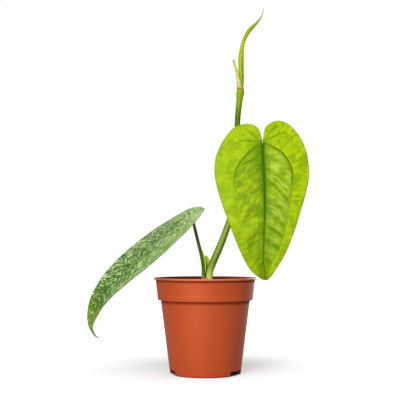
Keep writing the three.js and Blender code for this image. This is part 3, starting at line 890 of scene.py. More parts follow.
def stem_finish(settings):
    finish = Finish("stem skin", Specular_IOR_Level=0.45, Specular_Tint=LEAF_GLOSS)
    flow = finish.vector("flow", (1, 1, 0.045))
    fine = finish.vector("flow", (1, 1, 0.2))
    height = finish.height()
    streaks = finish.noise(flow, 1.9, 3, 0.6)
    across = finish.pick(finish.vector("flow"), "Y")
    finish.colour = settings.stem
    finish.coat(settings.foot, finish.step(height, 252, 200))
    finish.coat(settings.shoot, finish.step(height, 298, 328))
    # The stem's dark colour is partly its real streaks and partly painted shade: its sides and
    # back, and one side more, are painted darker.
    dark = finish.strongest(finish.step(streaks, 0.48, 0.62, 0, 0.7),
                            finish.step(across, 0.4 * MM, 1.5 * MM, 0, 0.6),
                            finish.step(finish.value("turn"), 0.7, 0.45, 0, 0.95))
    finish.coat(settings.streak, dark, finish.step(height, 318, 290, 0.2, 0.9),
                finish.step(height, 112, 134, 0.3, 1))
    flecks = finish.noise(fine, 0.8, 2, 0.5)
    finish.coat(scaled(settings.foot, 1.2), finish.step(flecks, 0.6, 0.7, 0, 0.45))
    finish.coat(settings.node, finish.value("ring"), finish.step(height, 200, 300, 0, 1.5),
                finish.noise(flow, 2.4, 2))
    finish.coat(shade(216, 228, 112), finish.step(height, 130, 108.5, 0, 0.95))
    rough = finish.step(streaks, 0.3, 0.7, 0.36, 0.5)
    skin = finish.bump(finish.noise(fine, 0.6, 2, 0.5), 0.03, 0.3)
    return finish.done(rough, finish.bump(streaks, 0.12, 0.3, skin))


def stalk_finish(name, ground, streak, wing_tone, foot_tone, foot_from, foot_to):
    """Skin of a leaf's stalk, which turns to foot_tone between two heights."""
    finish = Finish(name, Specular_IOR_Level=0.45, Specular_Tint=LEAF_GLOSS)
    streaks = finish.noise(finish.vector("flow", (1, 1, 0.05)), 1.3, 3, 0.6)
    flecks = finish.noise(finish.vector("flow", (1, 1, 0.3)), 0.6, 2)
    finish.colour = ground
    finish.coat(streak, finish.step(streaks, 0.42, 0.64, 0, 0.75))
    finish.coat(shade(126, 160, 44), finish.value("groove"), 0.5)
    finish.coat(wing_tone, finish.value("wing"))
    finish.coat(foot_tone, finish.step(finish.height(), foot_from, foot_to, 0, 0.8))
    finish.coat(shade(150, 180, 84), finish.step(flecks, 0.64, 0.74, 0, 0.3))
    rough = finish.step(streaks, 0.3, 0.7, 0.38, 0.52)
    return finish.done(rough, finish.bump(streaks, 0.12, 0.3, finish.bump(flecks, 0.03, 0.3)))


class PLANT_OT_main_stem(Operator):
    """Grow the main stem, with its faint ridges and the rings at its nodes"""

    bl_idname = "plant.main_stem"
    bl_label = "Main stem"

    def execute(self, context):
        route = Route(STEM["route"])

        def height_at(part):
            return route.at(part)[..., 2]

        def rings(height, width):
            return sum(bead(height - node, width) for node in NODE_HEIGHTS)

        def section(part, angle):
            height = height_at(part)
            drift = 0.25 * np.sin(height / 17)
            ridges = 0.012 * np.cos(11 * (angle + drift)) + 0.008 * np.cos(5 * angle + height / 9)
            collar = 0.035 * rings(height + 1.6, 1.1)
            groove = -0.05 * rings(height + 0.4 * np.cos(angle + 1), 1.0)
            return 1 + ridges + collar + groove

        def radius(part):
            return flowing(STEM["radii"], height_at(part)) - 0.1

        points, faces, values = tube(route, radius, (0, -1, 0), STEM_SIDES, STEM_STEPS, section)
        tilt = 0.4 * np.cos(even_turn(STEM_SIDES) + 1)[None, :]
        ring = np.clip(rings(height_at(values["part"]) + tilt, 1.0), 0, 1)
        shape = Shape()
        shape.add(points, faces, **values, ring=ring)
        new_piece(shape.mesh(), "main_stem", stem_finish(context.scene.plant_stem))
        return {"FINISHED"}


def stalk(shape, lines, facing):
    """A leaf's stalk, with a shallow groove along the side that faces the stem."""

    def section(part, angle):
        dip = bead(np.arctan2(np.sin(angle), np.cos(angle)), 0.5)
        fade = smooth(0.02, 0.12, part) * smooth(1.0, 0.9, part)
        return 1 - STALK_GROOVE * dip * fade + 0.012 * np.cos(9 * angle)

    def radius(part):
        return flowing(lines["radii"], part)

    points, faces, values = tube(Route(lines["route"]), radius, facing, STALK_SIDES, STALK_STEPS,
                                 section)
    dip = np.clip(values["turn"] * 6 - 4.6, 0, 1)
    shape.add(points, faces, **values, groove=dip, wing=0)


WING = [[-2.6, -1.0, 113], [-2.0, -1.0, 121], [-2.6, -1.2, 130], [-4.4, -1.3, 138.5],
        [-5.6, -1.3, 143.6]]
WING_ROWS, WING_COLUMNS = 60, 9
WING_START = 0.9
WING_WIDTHS = [[0, 0.9], [0.25, 2.1], [0.5, 2.4], [0.72, 1.9], [0.88, 1.3], [0.96, 0.8], [1, 0.1]]


def wing(shape):
    """The thin wing of the mottled leaf's stalk, which ends in a small point."""
    route = Route(WING)
    part = np.linspace(0, 1, WING_ROWS)
    out = np.linspace(0, 1, WING_COLUMNS)[None, :]
    tangent = route.tangent(part)
    aim = square_to(tangent, (1.0, -0.25, 0.1))
    face = np.cross(tangent, aim)
    width = flowing(WING_WIDTHS, part)[:, None] * out
    centre = route.at(part)[:, None] + (width + WING_START)[..., None] * aim[:, None]
    centre = centre + (0.35 * out * out * np.sin(9 * part[:, None]))[..., None] * face[:, None]
    thick = (0.5 * (1 - 0.65 * out) * smooth(1.02, 0.8, part)[:, None] + 0.08)[..., None]
    outer, inner = centre + face[:, None] * thick / 2, centre - face[:, None] * thick / 2
    points, faces = shell(outer, inner)
    along = part[:, None] * route.length + 0 * out
    flow = np.stack([width, 0 * along, along], axis=-1) * MM
    shape.add(points, faces, flow=np.concatenate([flow, flow]), part=0.5, turn=0, groove=0,
              wing=0.92)


class PLANT_OT_leaf_stalks(Operator):
    """Grow the stalks of the two leaves, one of them with its short winged sheath"""

    bl_idname = "plant.leaf_stalks"
    bl_label = "Leaf stalks"

    def execute(self, context):
        settings = context.scene.plant_stem
        shape = Shape()
        stalk(shape, MOTTLED_STALK, (1, -0.35, 0.2))
        wing(shape)
        dark = stalk_finish("dark stalk skin", settings.stalk, scaled(settings.stalk, 0.55),
                            settings.wing, shade(150, 160, 84), 118, 109)
        new_piece(shape.mesh(), "mottled_leaf_stalk", dark)
        shape = Shape()
        stalk(shape, HEART_STALK, (-0.6, -0.2, 1))
        light = stalk_finish("light stalk skin", settings.stem, settings.streak,
                             settings.wing, shade(140, 170, 50), 200, 194)
        new_piece(shape.mesh(), "heart_leaf_stalk", light)
        return {"FINISHED"}


# The leaf blades. A midrib's route starts above the notch, between the lobes, has the notch at its
# second point and ends at the tip. Outlines and veins are in [distance below the notch, distance
# from the midrib]. roll, lift and valley shape the blade along its length.

HEART_LEAF = {
    "route": [[65.65, -27.05, 293.7], [65.3, -34, 266.6], [66.5, -44, 224], [66.5, -51, 186.5],
              [65, -54.5, 155.3], [64.4, -55, 130], [65.8, -52.5, 116.6], [66.8, -47.5, 110.2],
              [67.2, -42.5, 110.4]],
    "across": [1, 0, 0],
    "right": [[-4.4, 1.0], [-14.1, 1.9], [-21.7, 7.2], [-26.5, 18.9], [-22.4, 31], [-9.5, 41.9],
              [5, 47.8], [24.6, 51.2], [47.6, 49.8], [83.7, 39.1], [120.1, 27.7], [142, 17.4],
              [154, 8.7], [160.5, 3.3], [164.6, 0.9], [165.9, 0]],
    "left": [[-3.4, 1.5], [-12.8, 3.0], [-19.6, 9.4], [-21.5, 19.5], [-18, 31], [-9, 40.5],
             [4, 49.2], [20.8, 55.2], [45.9, 55], [86.1, 44.1], [122.1, 29], [142, 18.2],
             [154, 9.1], [160.5, 3.3], [164.6, 0.9], [165.9, 0]],
    "roll": [[0, 0]],
    "lift": [[0, -0.1]],
    "valley": 6,
    "waviness": 0.9,
    "inner_vein": {
        "right": [[0, 0], [2.6, 4.4], [6.3, 10.6], [12, 19.4], [20.4, 26], [29, 30], [37, 31.7],
                  [46, 31.6], [58, 30.6], [70, 29], [85, 26.2], [100, 23.7], [111, 21.4],
                  [126, 16.5], [142, 9], [160, 0]],
        "left": [[0, 0], [3, 3.4], [7.6, 9.6], [13.3, 16.6], [20, 23.4], [28, 29.3], [35, 32.3],
                 [45, 33.6], [55, 33.8], [66, 33.1], [76, 31.2], [86, 29.4], [96, 27],
                 [105, 24.8], [116, 21], [130, 14.5], [146, 7], [160, 0]],
    },
    "outer_vein": {
        "right": [[0, 0], [-1.8, 4], [-5, 10.7], [-8.9, 17.7], [-11.2, 23.5], [-9.5, 30],
                  [-3, 36.5], [6, 40.6], [18, 43.4], [40, 43.4], [70, 37.4], [100, 29.4],
                  [130, 19], [160, 0]],
        "left": [[0, 0], [-0.4, 8], [-1.2, 16.8], [-1.5, 24.7], [3.5, 33.6], [13, 40.6],
                 [28, 45], [48, 45.4], [80, 39], [108, 29.6], [132, 19.6], [160, 0]],
    },
    "lobe_vein": {
        "right": [[0, 0], [-5.5, 4.4], [-13.1, 10.8], [-18, 16], [-18.8, 24], [-11, 35],
                  [0, 41.6], [5, 47.8]],
        "left": [[0, 0], [-1.3, 4.2], [-6.7, 8.9], [-11.7, 14.6], [-13.6, 22], [-10.5, 31],
                 [-3, 40], [6, 50]],
    },
    "laterals": {
        "right": [[1, 12], [16, 32], [31.5, 54], [43.5, 72.3], [69, 84.3], [82, 99.7],
                  [98, 111], [115, 124], [136, 142]],
        "left": [[1, 12], [15, 30], [34, 51], [53, 71], [82.5, 98], [113.4, 124], [134, 141]],
    },
}
MOTTLED_OUTLINE = [[-3, 0.3], [-13.6, 0.5], [-15.9, 3.4], [-15.2, 11], [-7.3, 25], [1.5, 38.5],
                   [14, 46.8], [39, 50], [66, 46.5], [100, 36.5], [130, 26.5], [155, 17],
                   [172, 9.6], [186, 3.6], [196, 1.6], [204.5, 0]]
MOTTLED_INNER = [[0, 0], [6, 13], [14, 22], [26, 30], [42, 33.5], [60, 32.5], [80, 29],
                 [105, 23.5], [130, 17], [155, 10.5], [175, 5], [196, 0]]
MOTTLED_LATERALS = [[10, 26], [24, 42], [40, 60], [58, 78], [78, 98], [98, 117], [119, 136],
                    [140, 154], [160, 170], [180, 186]]
MOTTLED_OUTER = [[0, 0], [-5, 7], [-8, 17], [-3, 29], [8, 39], [24, 44], [45, 44.5], [75, 39],
                 [105, 30], [135, 20], [160, 11], [198, 0]]
MOTTLED_LOBE = [[0, 0], [-8, 4], [-11.5, 10], [-8, 20], [0, 32], [9, 41], [16, 48]]
MOTTLED_LEAF = {
    "route": [[-1.6, 0, 193.5], [-17.4, -3, 186.4], [-38.9, -6, 168.2], [-64.4, -7, 146],
              [-90.7, -4, 121.4], [-111.4, 1, 100], [-124.7, 6, 81.4], [-132, 10, 66.8],
              [-134.8, 13, 54.8], [-133, 14.5, 47.1], [-128.8, 16, 41], [-122.3, 18, 38.6]],
    "across": [0, -1, 0],
    "right": MOTTLED_OUTLINE,
    "left": MOTTLED_OUTLINE,
    "roll": [[0, 14.5], [0.18, 17.5], [0.35, 21.5], [0.55, 27], [0.7, 33], [0.8, 39], [1, 45]],
    "lift": [[0, -0.056], [0.18, -0.02], [0.34, 0], [0.5, 0.055], [0.62, 0.1], [0.8, 0.16],
             [1, 0]],
    "valley": 2,
    "waviness": 0.3,
    "inner_vein": {"right": MOTTLED_INNER, "left": MOTTLED_INNER},
    "outer_vein": {"right": MOTTLED_OUTER, "left": MOTTLED_OUTER},
    "lobe_vein": {"right": MOTTLED_LOBE, "left": MOTTLED_LOBE},
    "laterals": {"right": MOTTLED_LATERALS, "left": MOTTLED_LATERALS},
}
BLADE_RIBS = 260
BLADE_COLUMNS = 54
LOBE_RIBS = 0.27
RIB_SWEEP = 1.45
OUTLINE_INSET = 0.12
LIP_OUTSET = 0.1
VEIN_STEPS = 70
RIPPLE_PITCH = 6.2
# how deep each kind of vein is sunk, and the half width of its groove
LATERAL_GROOVE, INNER_GROOVE, OUTER_GROOVE, LOBE_GROOVE = (
    (0.36, 1.5), (0.42, 1.4), (0.3, 1.6), (0.26, 1.6))


def to_vein(along, aside, line):
    """The signed distance to a vein, positive on the margin's side, and how far along the vein
    the nearest point lies."""
    corners = Route(line).at(np.linspace(0, 1, VEIN_STEPS))
    start, step = corners[:-1], np.diff(corners, axis=0)
    size = np.linalg.norm(step, axis=1)
    travelled = np.concatenate([[0], np.cumsum(size)])
    place = np.stack([along.ravel(), aside.ravel()], axis=-1)[:, None]
    share = np.clip(((place - start) * step).sum(-1) / size ** 2, 0, 1)
    gap = place - (start + share[..., None] * step)
    apart = np.linalg.norm(gap, axis=-1)
    nearest = apart.argmin(axis=1)
    row = np.arange(len(nearest))
    side = step[nearest, 0] * gap[row, nearest, 1] - step[nearest, 1] * gap[row, nearest, 0]
    signed = np.where(side < 0, -1, 1) * apart[row, nearest]
    station = travelled[nearest] + share[row, nearest] * size[nearest]
    return signed.reshape(along.shape), station.reshape(along.shape)


def to_lateral(along, aside, laterals, inner_vein):
    """A count that is whole on each side vein, and the distance between them there."""
    inner = np.interp(along, *np.array(inner_vein, float).T)
    share = np.clip(aside / np.maximum(inner, 1.5), 0, 1.5)[..., None]
    start, end = np.array(laterals, float).T
    lines = start + (end - start) * share ** 1.12
    k = np.clip((along[..., None] > lines).sum(-1) - 1, 0, len(laterals) - 2)
    low = np.take_along_axis(lines, k[..., None], -1)[..., 0]
    high = np.take_along_axis(lines, k[..., None] + 1, -1)[..., 0]
    count = k + (along - low) / (high - low)
    return np.clip(count, -0.45, len(laterals) - 0.55), high - low


class LeafSurface:
    """The bent surface of a leaf, read by distances along its midrib and aside of it."""

    def __init__(self, leaf):
        self.leaf = leaf
        self.curve = Route(leaf["route"])
        first, notch = np.array(leaf["route"][:2], float)
        self.lobes = np.linalg.norm(first - notch)
        self.length = self.curve.length - self.lobes
        self.widest = max(aside for _, aside in leaf["right"])

    def part(self, along):
        return np.clip(along / self.length, 0, 1)

    def at(self, along, aside, offset):
        leaf, part = self.leaf, self.part(along)
        u = np.clip((along + self.lobes) / self.curve.length, 0, 1)
        tangent = self.curve.tangent(u)
        side = square_to(tangent, leaf["across"])
        face = np.cross(tangent, side)
        roll = np.radians(flowing(leaf["roll"], part))[..., None]
        rolled_side = side * np.cos(roll) - face * np.sin(roll)
        rolled_face = face * np.cos(roll) + side * np.sin(roll)
        reach = np.abs(aside) / self.widest
        rise = flowing(leaf["lift"], part) * np.abs(aside) + leaf["valley"] * (reach - reach ** 2)
        return (self.curve.at(u) + rolled_side * aside[..., None]
                + rolled_face * (rise + offset)[..., None])


def half_ribs(line):
    """Half a blade's points in ribs that sweep from the midrib out to the margin: how far along
    and aside they are and how far from the margin, and then the points of the margin's lip."""
    outline = Route(line)
    rib = np.linspace(0, 1, BLADE_RIBS + 1)
    travel = outline.tangent(rib)
    outward = np.stack([-travel[:, 1], travel[:, 0]], axis=-1)
    margin = outline.at(rib) - outward * OUTLINE_INSET
    margin[:, 1] = np.maximum(margin[:, 1], 0)
    margin[-1] = outline.at(1.0) - [OUTLINE_INSET, 0]
    lip = margin + outward * LIP_OUTSET
    lip[:, 1] = np.maximum(lip[:, 1], 0)
    past = np.clip((rib - LOBE_RIBS) / (1 - LOBE_RIBS), 0, 1)
    start = margin[-1, 0] * past ** RIB_SWEEP
    reach = (np.linspace(0, 1, BLADE_COLUMNS + 1) ** 1.15)[None, :]
    bowed = reach ** (1 + 0.15 * past[:, None])
    along = start[:, None] + (margin[:, :1] - start[:, None]) * bowed
    run = np.hypot(margin[:, 0] - start, margin[:, 1])[:, None]
    return along, margin[:, 1:] * reach, run * (1 - reach), lip


def half_fields(leaf, name, along, aside):
    """The fields of half a blade's veins, which shape it and guide its finish."""
    inner, station = to_vein(along, aside, leaf["inner_vein"][name])
    outer, _ = to_vein(along, aside, leaf["outer_vein"][name])
    lobe, _ = to_vein(along, aside, leaf["lobe_vein"][name])
    count, pitch = to_lateral(along, aside, leaf["laterals"][name], leaf["inner_vein"][name])
    return {"inner": inner, "outer": outer, "lobe": lobe, "station": station,
            "lateral": count, "pitch": pitch}


def half_relief(leaf, settings, fields, along, aside, rim, part, half):
    """How far half a blade's points stand out, and how far its veins stand out underneath."""
    inner, station, count = fields["inner"], fields["station"], fields["lateral"]
    inside, edge = smooth(1.0, -3.0, inner), smooth(0, 5, rim)
    side_vein = np.abs(count - np.round(count)) * fields["pitch"]

    def sunk(distance, groove):
        depth, width = groove
        return depth * bead(distance, width)

    veins = (sunk(side_vein, LATERAL_GROOVE) * inside * smooth(0, 6, aside)
             + sunk(inner, INNER_GROOVE) * (1 - part) ** 0.5
             + sunk(fields["outer"], OUTER_GROOVE) * smooth(0.6, 0.1, part)
             + sunk(fields["lobe"], LOBE_GROOVE)) * edge
    groove = (0.75 * bead(aside, 1.7 - 0.9 * part) * smooth(-6, 2, along)
              * smooth(1.0, 0.86, part))
    cushion = (settings.quilting / MM * np.sin(math.pi * count) ** 2 * inside
               * smooth(0, 9, aside) * np.clip(fields["pitch"] / 20, 0.3, 1.3))
    ribbed = (0.14 * np.sin(2 * math.pi * station / RIPPLE_PITCH) * (1 - inside) * edge
              * smooth(4, 14, station))
    sway = leaf["waviness"] * waves(along, half * aside, 7, 4, 74) * smooth(0, 14, aside)
    ridge = (bead(aside, 1.9 - 1.0 * part) * smooth(-7, 1, along) * smooth(1.0, 0.8, part)
             + 0.9 * veins)
    return cushion + ribbed + sway - veins - groove, ridge


def half_faces(rows, columns):
    """Faces of half a blade, closed along its midrib and at its two ends."""
    index = np.arange(columns)
    inner, outer = index[:BLADE_COLUMNS], index[1:BLADE_COLUMNS + 1]
    close = np.stack([inner, outer, columns - 2 - inner, columns - 1 - inner], axis=-1)
    first = np.array([[BLADE_COLUMNS, BLADE_COLUMNS + 1, BLADE_COLUMNS + 2]])
    last = (rows - 1) * columns + np.array([[0, BLADE_COLUMNS + 1, columns - 1]])
    return [grid(rows, columns), close, first, last]


def blade(leaf, settings):
    """The mesh of a leaf's blade, with the fields of its veins as surface values."""
    surface = LeafSurface(leaf)
    thick, thin = settings.thickness / MM, settings.margin / MM
    shape = Shape()

    def wrapped(value):
        """A value of the top side, for the top, the lip and the underside."""
        return np.concatenate([value, value[:, -1:], value[:, ::-1]], axis=1)

    for half, name in ((1, "right"), (-1, "left")):
        along, aside, rim, lip = half_ribs(leaf[name])
        part = surface.part(along)
        fields = half_fields(leaf, name, along, aside)
        relief, ridge = half_relief(leaf, settings, fields, along, aside, rim, part, half)
        half_thick = (thin + (thick - thin) * smooth(0, 6, rim)) / 2
        top = surface.at(along, half * aside, relief + half_thick)
        under = surface.at(along, half * aside, relief - half_thick - ridge)
        lip_points = surface.at(lip[:, 0], half * lip[:, 1], relief[:, -1])[:, None]
        points = np.concatenate([top, lip_points, under[:, ::-1]], axis=1)
        fields["rim"] = rim
        fields["midrib"] = (1.9 - 1.1 * part) * smooth(-9, 1, along)
        fields["flat"] = np.stack([along, half * aside, 0 * along], axis=-1) * MM
        underside = np.zeros(points.shape[:2])
        underside[:, BLADE_COLUMNS + 1] = 0.5
        underside[:, BLADE_COLUMNS + 2:] = 1
        shape.add(points, half_faces(*underside.shape), under=underside,
                  **{key: wrapped(value) for key, value in fields.items()})
    return shape.mesh()


class VeinFinish(Finish):
    """A leaf's finish, which reads the fields of its veins in millimetres."""

    def __init__(self, name):
        super().__init__(name, Specular_IOR_Level=0.34, Specular_Tint=LEAF_GLOSS)
        self.flat = self.vector("flat")
        self.along = self.maths("DIVIDE", self.pick(self.flat, "X"), MM)
        self.aside = self.maths("DIVIDE", self.pick(self.flat, "Y"), MM)
        self.away = self.maths("ABSOLUTE", self.aside)
        self.inner, self.outer, self.lobe = (self.value(n) for n in ("inner", "outer", "lobe"))
        self.rim, self.under, self.count = (self.value(n) for n in ("rim", "under", "lateral"))
        self.inside = self.step(self.inner, 0.8, -0.8)
        self.rise = self.maths("PINGPONG", self.count, 0.5)
        self.side_vein = self.maths("MULTIPLY", self.rise, self.value("pitch"))
        self.spine = self.maths("DIVIDE", self.away,
                                self.maths("ADD", self.value("midrib"), 0.01))
        self.notch = self.maths("ADD", self.maths("ABSOLUTE", self.along), self.away)

    def line(self, distance, width, soft):
        """1 on a vein of that half width in millimetres, 0 beyond its soft edge."""
        return self.step(self.maths("ABSOLUTE", distance), width, width + soft, 1, 0)

    def backed(self, tone, share, rough, duller):
        """Turns the underside towards a tone and gives the roughness with a duller underside."""
        self.coat(self.blend(share, self.colour, tone), self.under)
        return self.maths("ADD", rough, self.maths("MULTIPLY", self.under, duller))


def heart_patches(finish, settings, cloud, rays, streaks):
    """Paints the heart-shaped leaf's ground, its patches and a painted sheen of silvery green
    between its veins.
    """
    heart, deep = settings.heart, settings.heart_deep
    woven = finish.level((finish.count, 0.014), (finish.aside, 0.00045))
    small = finish.noise(finish.flat, 5.2, 4, 0.6, 0.6)
    drift = finish.noise(finish.flat, 24, 2, 0.5)
    right, within = finish.step(finish.aside, -4, 4), finish.step(finish.inner, 3, -5)
    finish.colour = heart
    finish.coat(deep, finish.step(cloud, 0.4, 0.6, 0, 0.62))
    finish.coat(scaled(heart, 1.25), finish.step(small, 0.5, 0.66, 0, 0.55))
    finish.coat(deep, finish.step(right, 1, 0, 0, 0.36))
    finish.coat(deep, finish.step(rays, 0.52, 0.68), finish.step(finish.inner, 0, 4), 0.6)
    finish.coat(deep, within, 0.12)
    for grain, edges, share, tone in (
            ((8, 3, 0.6, 0.6), (0.46, 0.6), finish.step(right, 0, 1, 0.8, 0.5), scaled(deep, 0.76)),
            ((3.4, 4, 0.66, 0.4), (0.5, 0.66), 0.6, scaled(deep, 0.66)),
            ((4.6, 4, 0.62, 0.4), (0.5, 0.64), 0.65, scaled(heart, 1.12))):
        patches = finish.step(finish.noise(woven, *grain), *edges)
        finish.coat(tone, patches, within, share)
    # Painted sheen: a silvery green between the side veins, mostly on the right half near the
    # midrib.
    sheen = finish.weighed((drift, 0.45), (streaks, 0.8))
    finish.coat(settings.heart_sheen, finish.step(sheen, 0.52, 0.78), within,
                finish.step(right, 0, 1, 0.1, 0.9),
                finish.step(finish.step(finish.rise, 0.08, 0.42), 0, 1, 0.3, 1),
                finish.step(finish.along, 150, 100, 0.35, 1))
    finish.coat(scaled(deep, 0.72), finish.step(finish.along, 84, 124), within, 0.25)


def heart_midrib_shade(finish, settings):
    """Paints the darker green along the midrib, partly its own green and partly painted shade of
    the valley it lies in, and painted shade in the hollow left of its upper part.
    """
    along, away = finish.along, finish.away
    finish.coat(scaled(settings.heart_vein, 1.05), finish.step(away, 11, 0.5),
                finish.step(along, 175, 30, 0.25, 0.78), finish.step(along, -6, 6))
    finish.coat(settings.heart_vein, finish.zone(finish.aside, -22, -5, -2, 2),
                finish.zone(along, -2, 10, 18, 70), 0.6)
    finish.coat(shade(60, 108, 2), finish.step(away, 3.6, 0.8), finish.zone(along, -3, 4, 10, 110),
                0.8)


def heart_veins(finish, settings, streaks):
    """Paints the heart-shaped leaf's veins, and gives the fine lines of its side veins."""
    along, away, inside = finish.along, finish.away, finish.inside
    fade = finish.step(finish.noise(finish.flat, 19, 2), 0.35, 0.65, 0.35, 1)
    strong = finish.step(along, 66, 22, 0.22, 0.9)
    by_side = finish.step(finish.step(finish.aside, -4, 4), 0, 1, 0.6, 0.7)
    # band spreads the side veins' colour wide: partly their own colour, partly painted shade in
    # their sunken grooves.
    band = finish.masked(finish.line(finish.side_vein, 0.3, 4.8), inside, fade,
                         finish.step(away, 33, 16, 0.2, 1), by_side)
    thin = finish.masked(finish.line(finish.side_vein, 0.1, 0.9), inside, fade, 0.3)
    fibres = finish.masked(finish.step(streaks, 0.5, 0.36), inside, 0.22)
    inner = finish.masked(finish.line(finish.inner, 0.2, 2.0), strong,
                          finish.step(along, 110, 30, 0.15, 1))
    inner_band = finish.masked(finish.zone(finish.inner, -7, -0.5, 0.2, 1.6), strong, 0.4)
    outer = finish.masked(finish.line(finish.outer, 0.2, 1.8), finish.step(along, 24, -2, 0, 0.62),
                          finish.step(away, 40, 18, 0, 1))
    lobe = finish.masked(finish.line(finish.lobe, 0.2, 1.6), 0.5, finish.step(away, 24, 10, 0, 1))
    finish.coat(settings.heart_vein,
                finish.strongest(band, thin, fibres, inner, inner_band, outer, lobe))
    finish.coat(shade(78, 116, 2), finish.line(finish.inner, 0.1, 1.3),
                finish.zone(along, -4, 2, 26, 62), 0.7)
    finish.coat(shade(46, 86, 2), finish.step(finish.spine, 1.5, 0.2, 0, 0.95),
                finish.step(along, 150, 70, 0.55, 1))
    return thin


def heart_finish(settings):
    finish = VeinFinish("heart leaf")
    lengthwise = finish.level((finish.count, 0.016), (finish.aside, 0.0003))
    outward = finish.level((finish.value("station"), MM), (finish.inner, 0.0002))
    cloud = finish.noise(finish.flat, 15, 5, 0.62, 0.8)
    streaks = finish.noise(lengthwise, 2.6, 3, 0.6, 0.3)
    rays = finish.noise(outward, 4.2, 3, 0.6, 0.3)
    heart_patches(finish, settings, cloud, rays, streaks)
    heart_midrib_shade(finish, settings)
    thin = heart_veins(finish, settings, streaks)
    finish.coat(shade(170, 196, 80), finish.step(finish.notch, 3.0, 1.2, 0, 0.6))
    finish.coat(shade(110, 142, 14), finish.step(finish.rim, 1.1, 0.2, 0, 0.55))
    rough = finish.backed(shade(156, 188, 70), 0.5, finish.step(cloud, 0.3, 0.7, 0.42, 0.55), 0.2)
    weave = finish.bump(finish.step(finish.cells(finish.flat, 2.6), 0, 0.35), 0.12, 0.35)
    fibre = finish.bump(finish.maths("MULTIPLY", streaks, finish.inside), 0.5, 0.5, weave)
    outside = finish.maths("SUBTRACT", 1, finish.inside)
    rayed = finish.bump(finish.maths("MULTIPLY", rays, outside), 0.4, 0.4, fibre)
    return finish.done(rough, finish.bump(finish.maths("SUBTRACT", 1, thin), 0.3, 0.5, rayed))


def mottled_finish(settings):
    finish = VeinFinish("mottled leaf")
    along, aside, away = finish.along, finish.aside, finish.away
    pale, deep = settings.mottled_pale, settings.mottled_deep
    slant = finish.maths("MULTIPLY_ADD", away, -0.7, along)
    grain = finish.level((slant, MM), (aside, 0.00075))
    broad = finish.noise(finish.flat, 17, 2, 0.5, 0.4)
    blotch = finish.noise(grain, 6.2, 3, 0.62, 1.3)
    speck = finish.noise(grain, 2.6, 2, 0.6, 0.9)
    bright = finish.noise(grain, 3.8, 3, 0.65, 1.4)
    darkest = finish.noise(grain, 4.1, 2, 0.6, 1.0)
    # Painted shade: the half nearest the camera is painted darker, with calmer blotches and fewer
    # bright patches.
    near = finish.step(aside, 8, 32)
    calm = finish.maths("SUBTRACT", 1, finish.maths("MULTIPLY", near, 0.62))
    field = finish.weighed((blotch, 0.72), (speck, 0.22), (broad, 0.06), (near, -0.006),
                           (finish.step(along, 18, -2), -0.06),
                           (finish.step(along, 34, 8), -0.012),
                           (finish.step(away, 22, 3), 0.02),
                           (finish.step(along, 90, 150), 0.028))
    finish.colour = pale
    finish.coat(scaled(pale, 0.84), finish.step(broad, 0.35, 0.65))
    # Painted shade: the near half is darker.
    finish.coat(scaled(pale, 0.8), near)
    finish.coat(shade(104, 144, 56), finish.step(field, 0.43, 0.49, 0, 0.7))
    finish.coat(scaled(deep, 0.8), finish.step(field, 0.478, 0.506), calm)
    finish.coat(shade(206, 228, 164), finish.step(bright, 0.56, 0.62, 0, 0.9),
                finish.maths("MULTIPLY_ADD", near, -0.5, 1))
    finish.coat(scaled(deep, 0.62), finish.step(darkest, 0.56, 0.63), calm, 0.8)
    finish.coat(scaled(settings.mottled_tail, 1.2), finish.step(along, 145, 192), 0.7)
    veins = finish.strongest(
        finish.masked(finish.line(finish.side_vein, 0.15, 0.9), finish.inside, 0.25),
        finish.masked(finish.line(finish.inner, 0.2, 0.9), 0.25))
    finish.coat(shade(84, 128, 48), veins)
    finish.coat(shade(78, 122, 40), finish.step(finish.spine, 1.0, 0.4, 0, 0.6))
    finish.coat(shade(206, 224, 170), finish.step(finish.notch, 7, 2, 0, 0.9))
    finish.coat(shade(84, 92, 58), finish.step(finish.rim, 1.3, 0.3, 0, 0.85))
    rough = finish.backed(shade(140, 172, 92), 0.7, finish.step(field, 0.4, 0.6, 0.42, 0.52), 0.18)
    web = finish.bump(finish.step(finish.cells(finish.flat, 2.3), 0, 0.35), 0.1, 0.35)
    blistered = finish.bump(field, 0.5, 0.4, web)
    return finish.done(rough, finish.bump(finish.maths("SUBTRACT", 1, veins), 0.3, 0.5, blistered))


class PLANT_OT_leaf_blades(Operator):
    """Grow the heart-shaped leaf's blade and the mottled leaf's blade"""

    bl_idname = "plant.leaf_blades"
    bl_label = "Leaf blades"

    def execute(self, context):
        settings = context.scene.plant_leaf
        new_piece(blade(HEART_LEAF, settings), "heart_leaf_blade", heart_finish(settings))
        new_piece(blade(MOTTLED_LEAF, settings), "mottled_leaf_blade", mottled_finish(settings))
        return {"FINISHED"}


# The rolled new leaf and the two thin scales

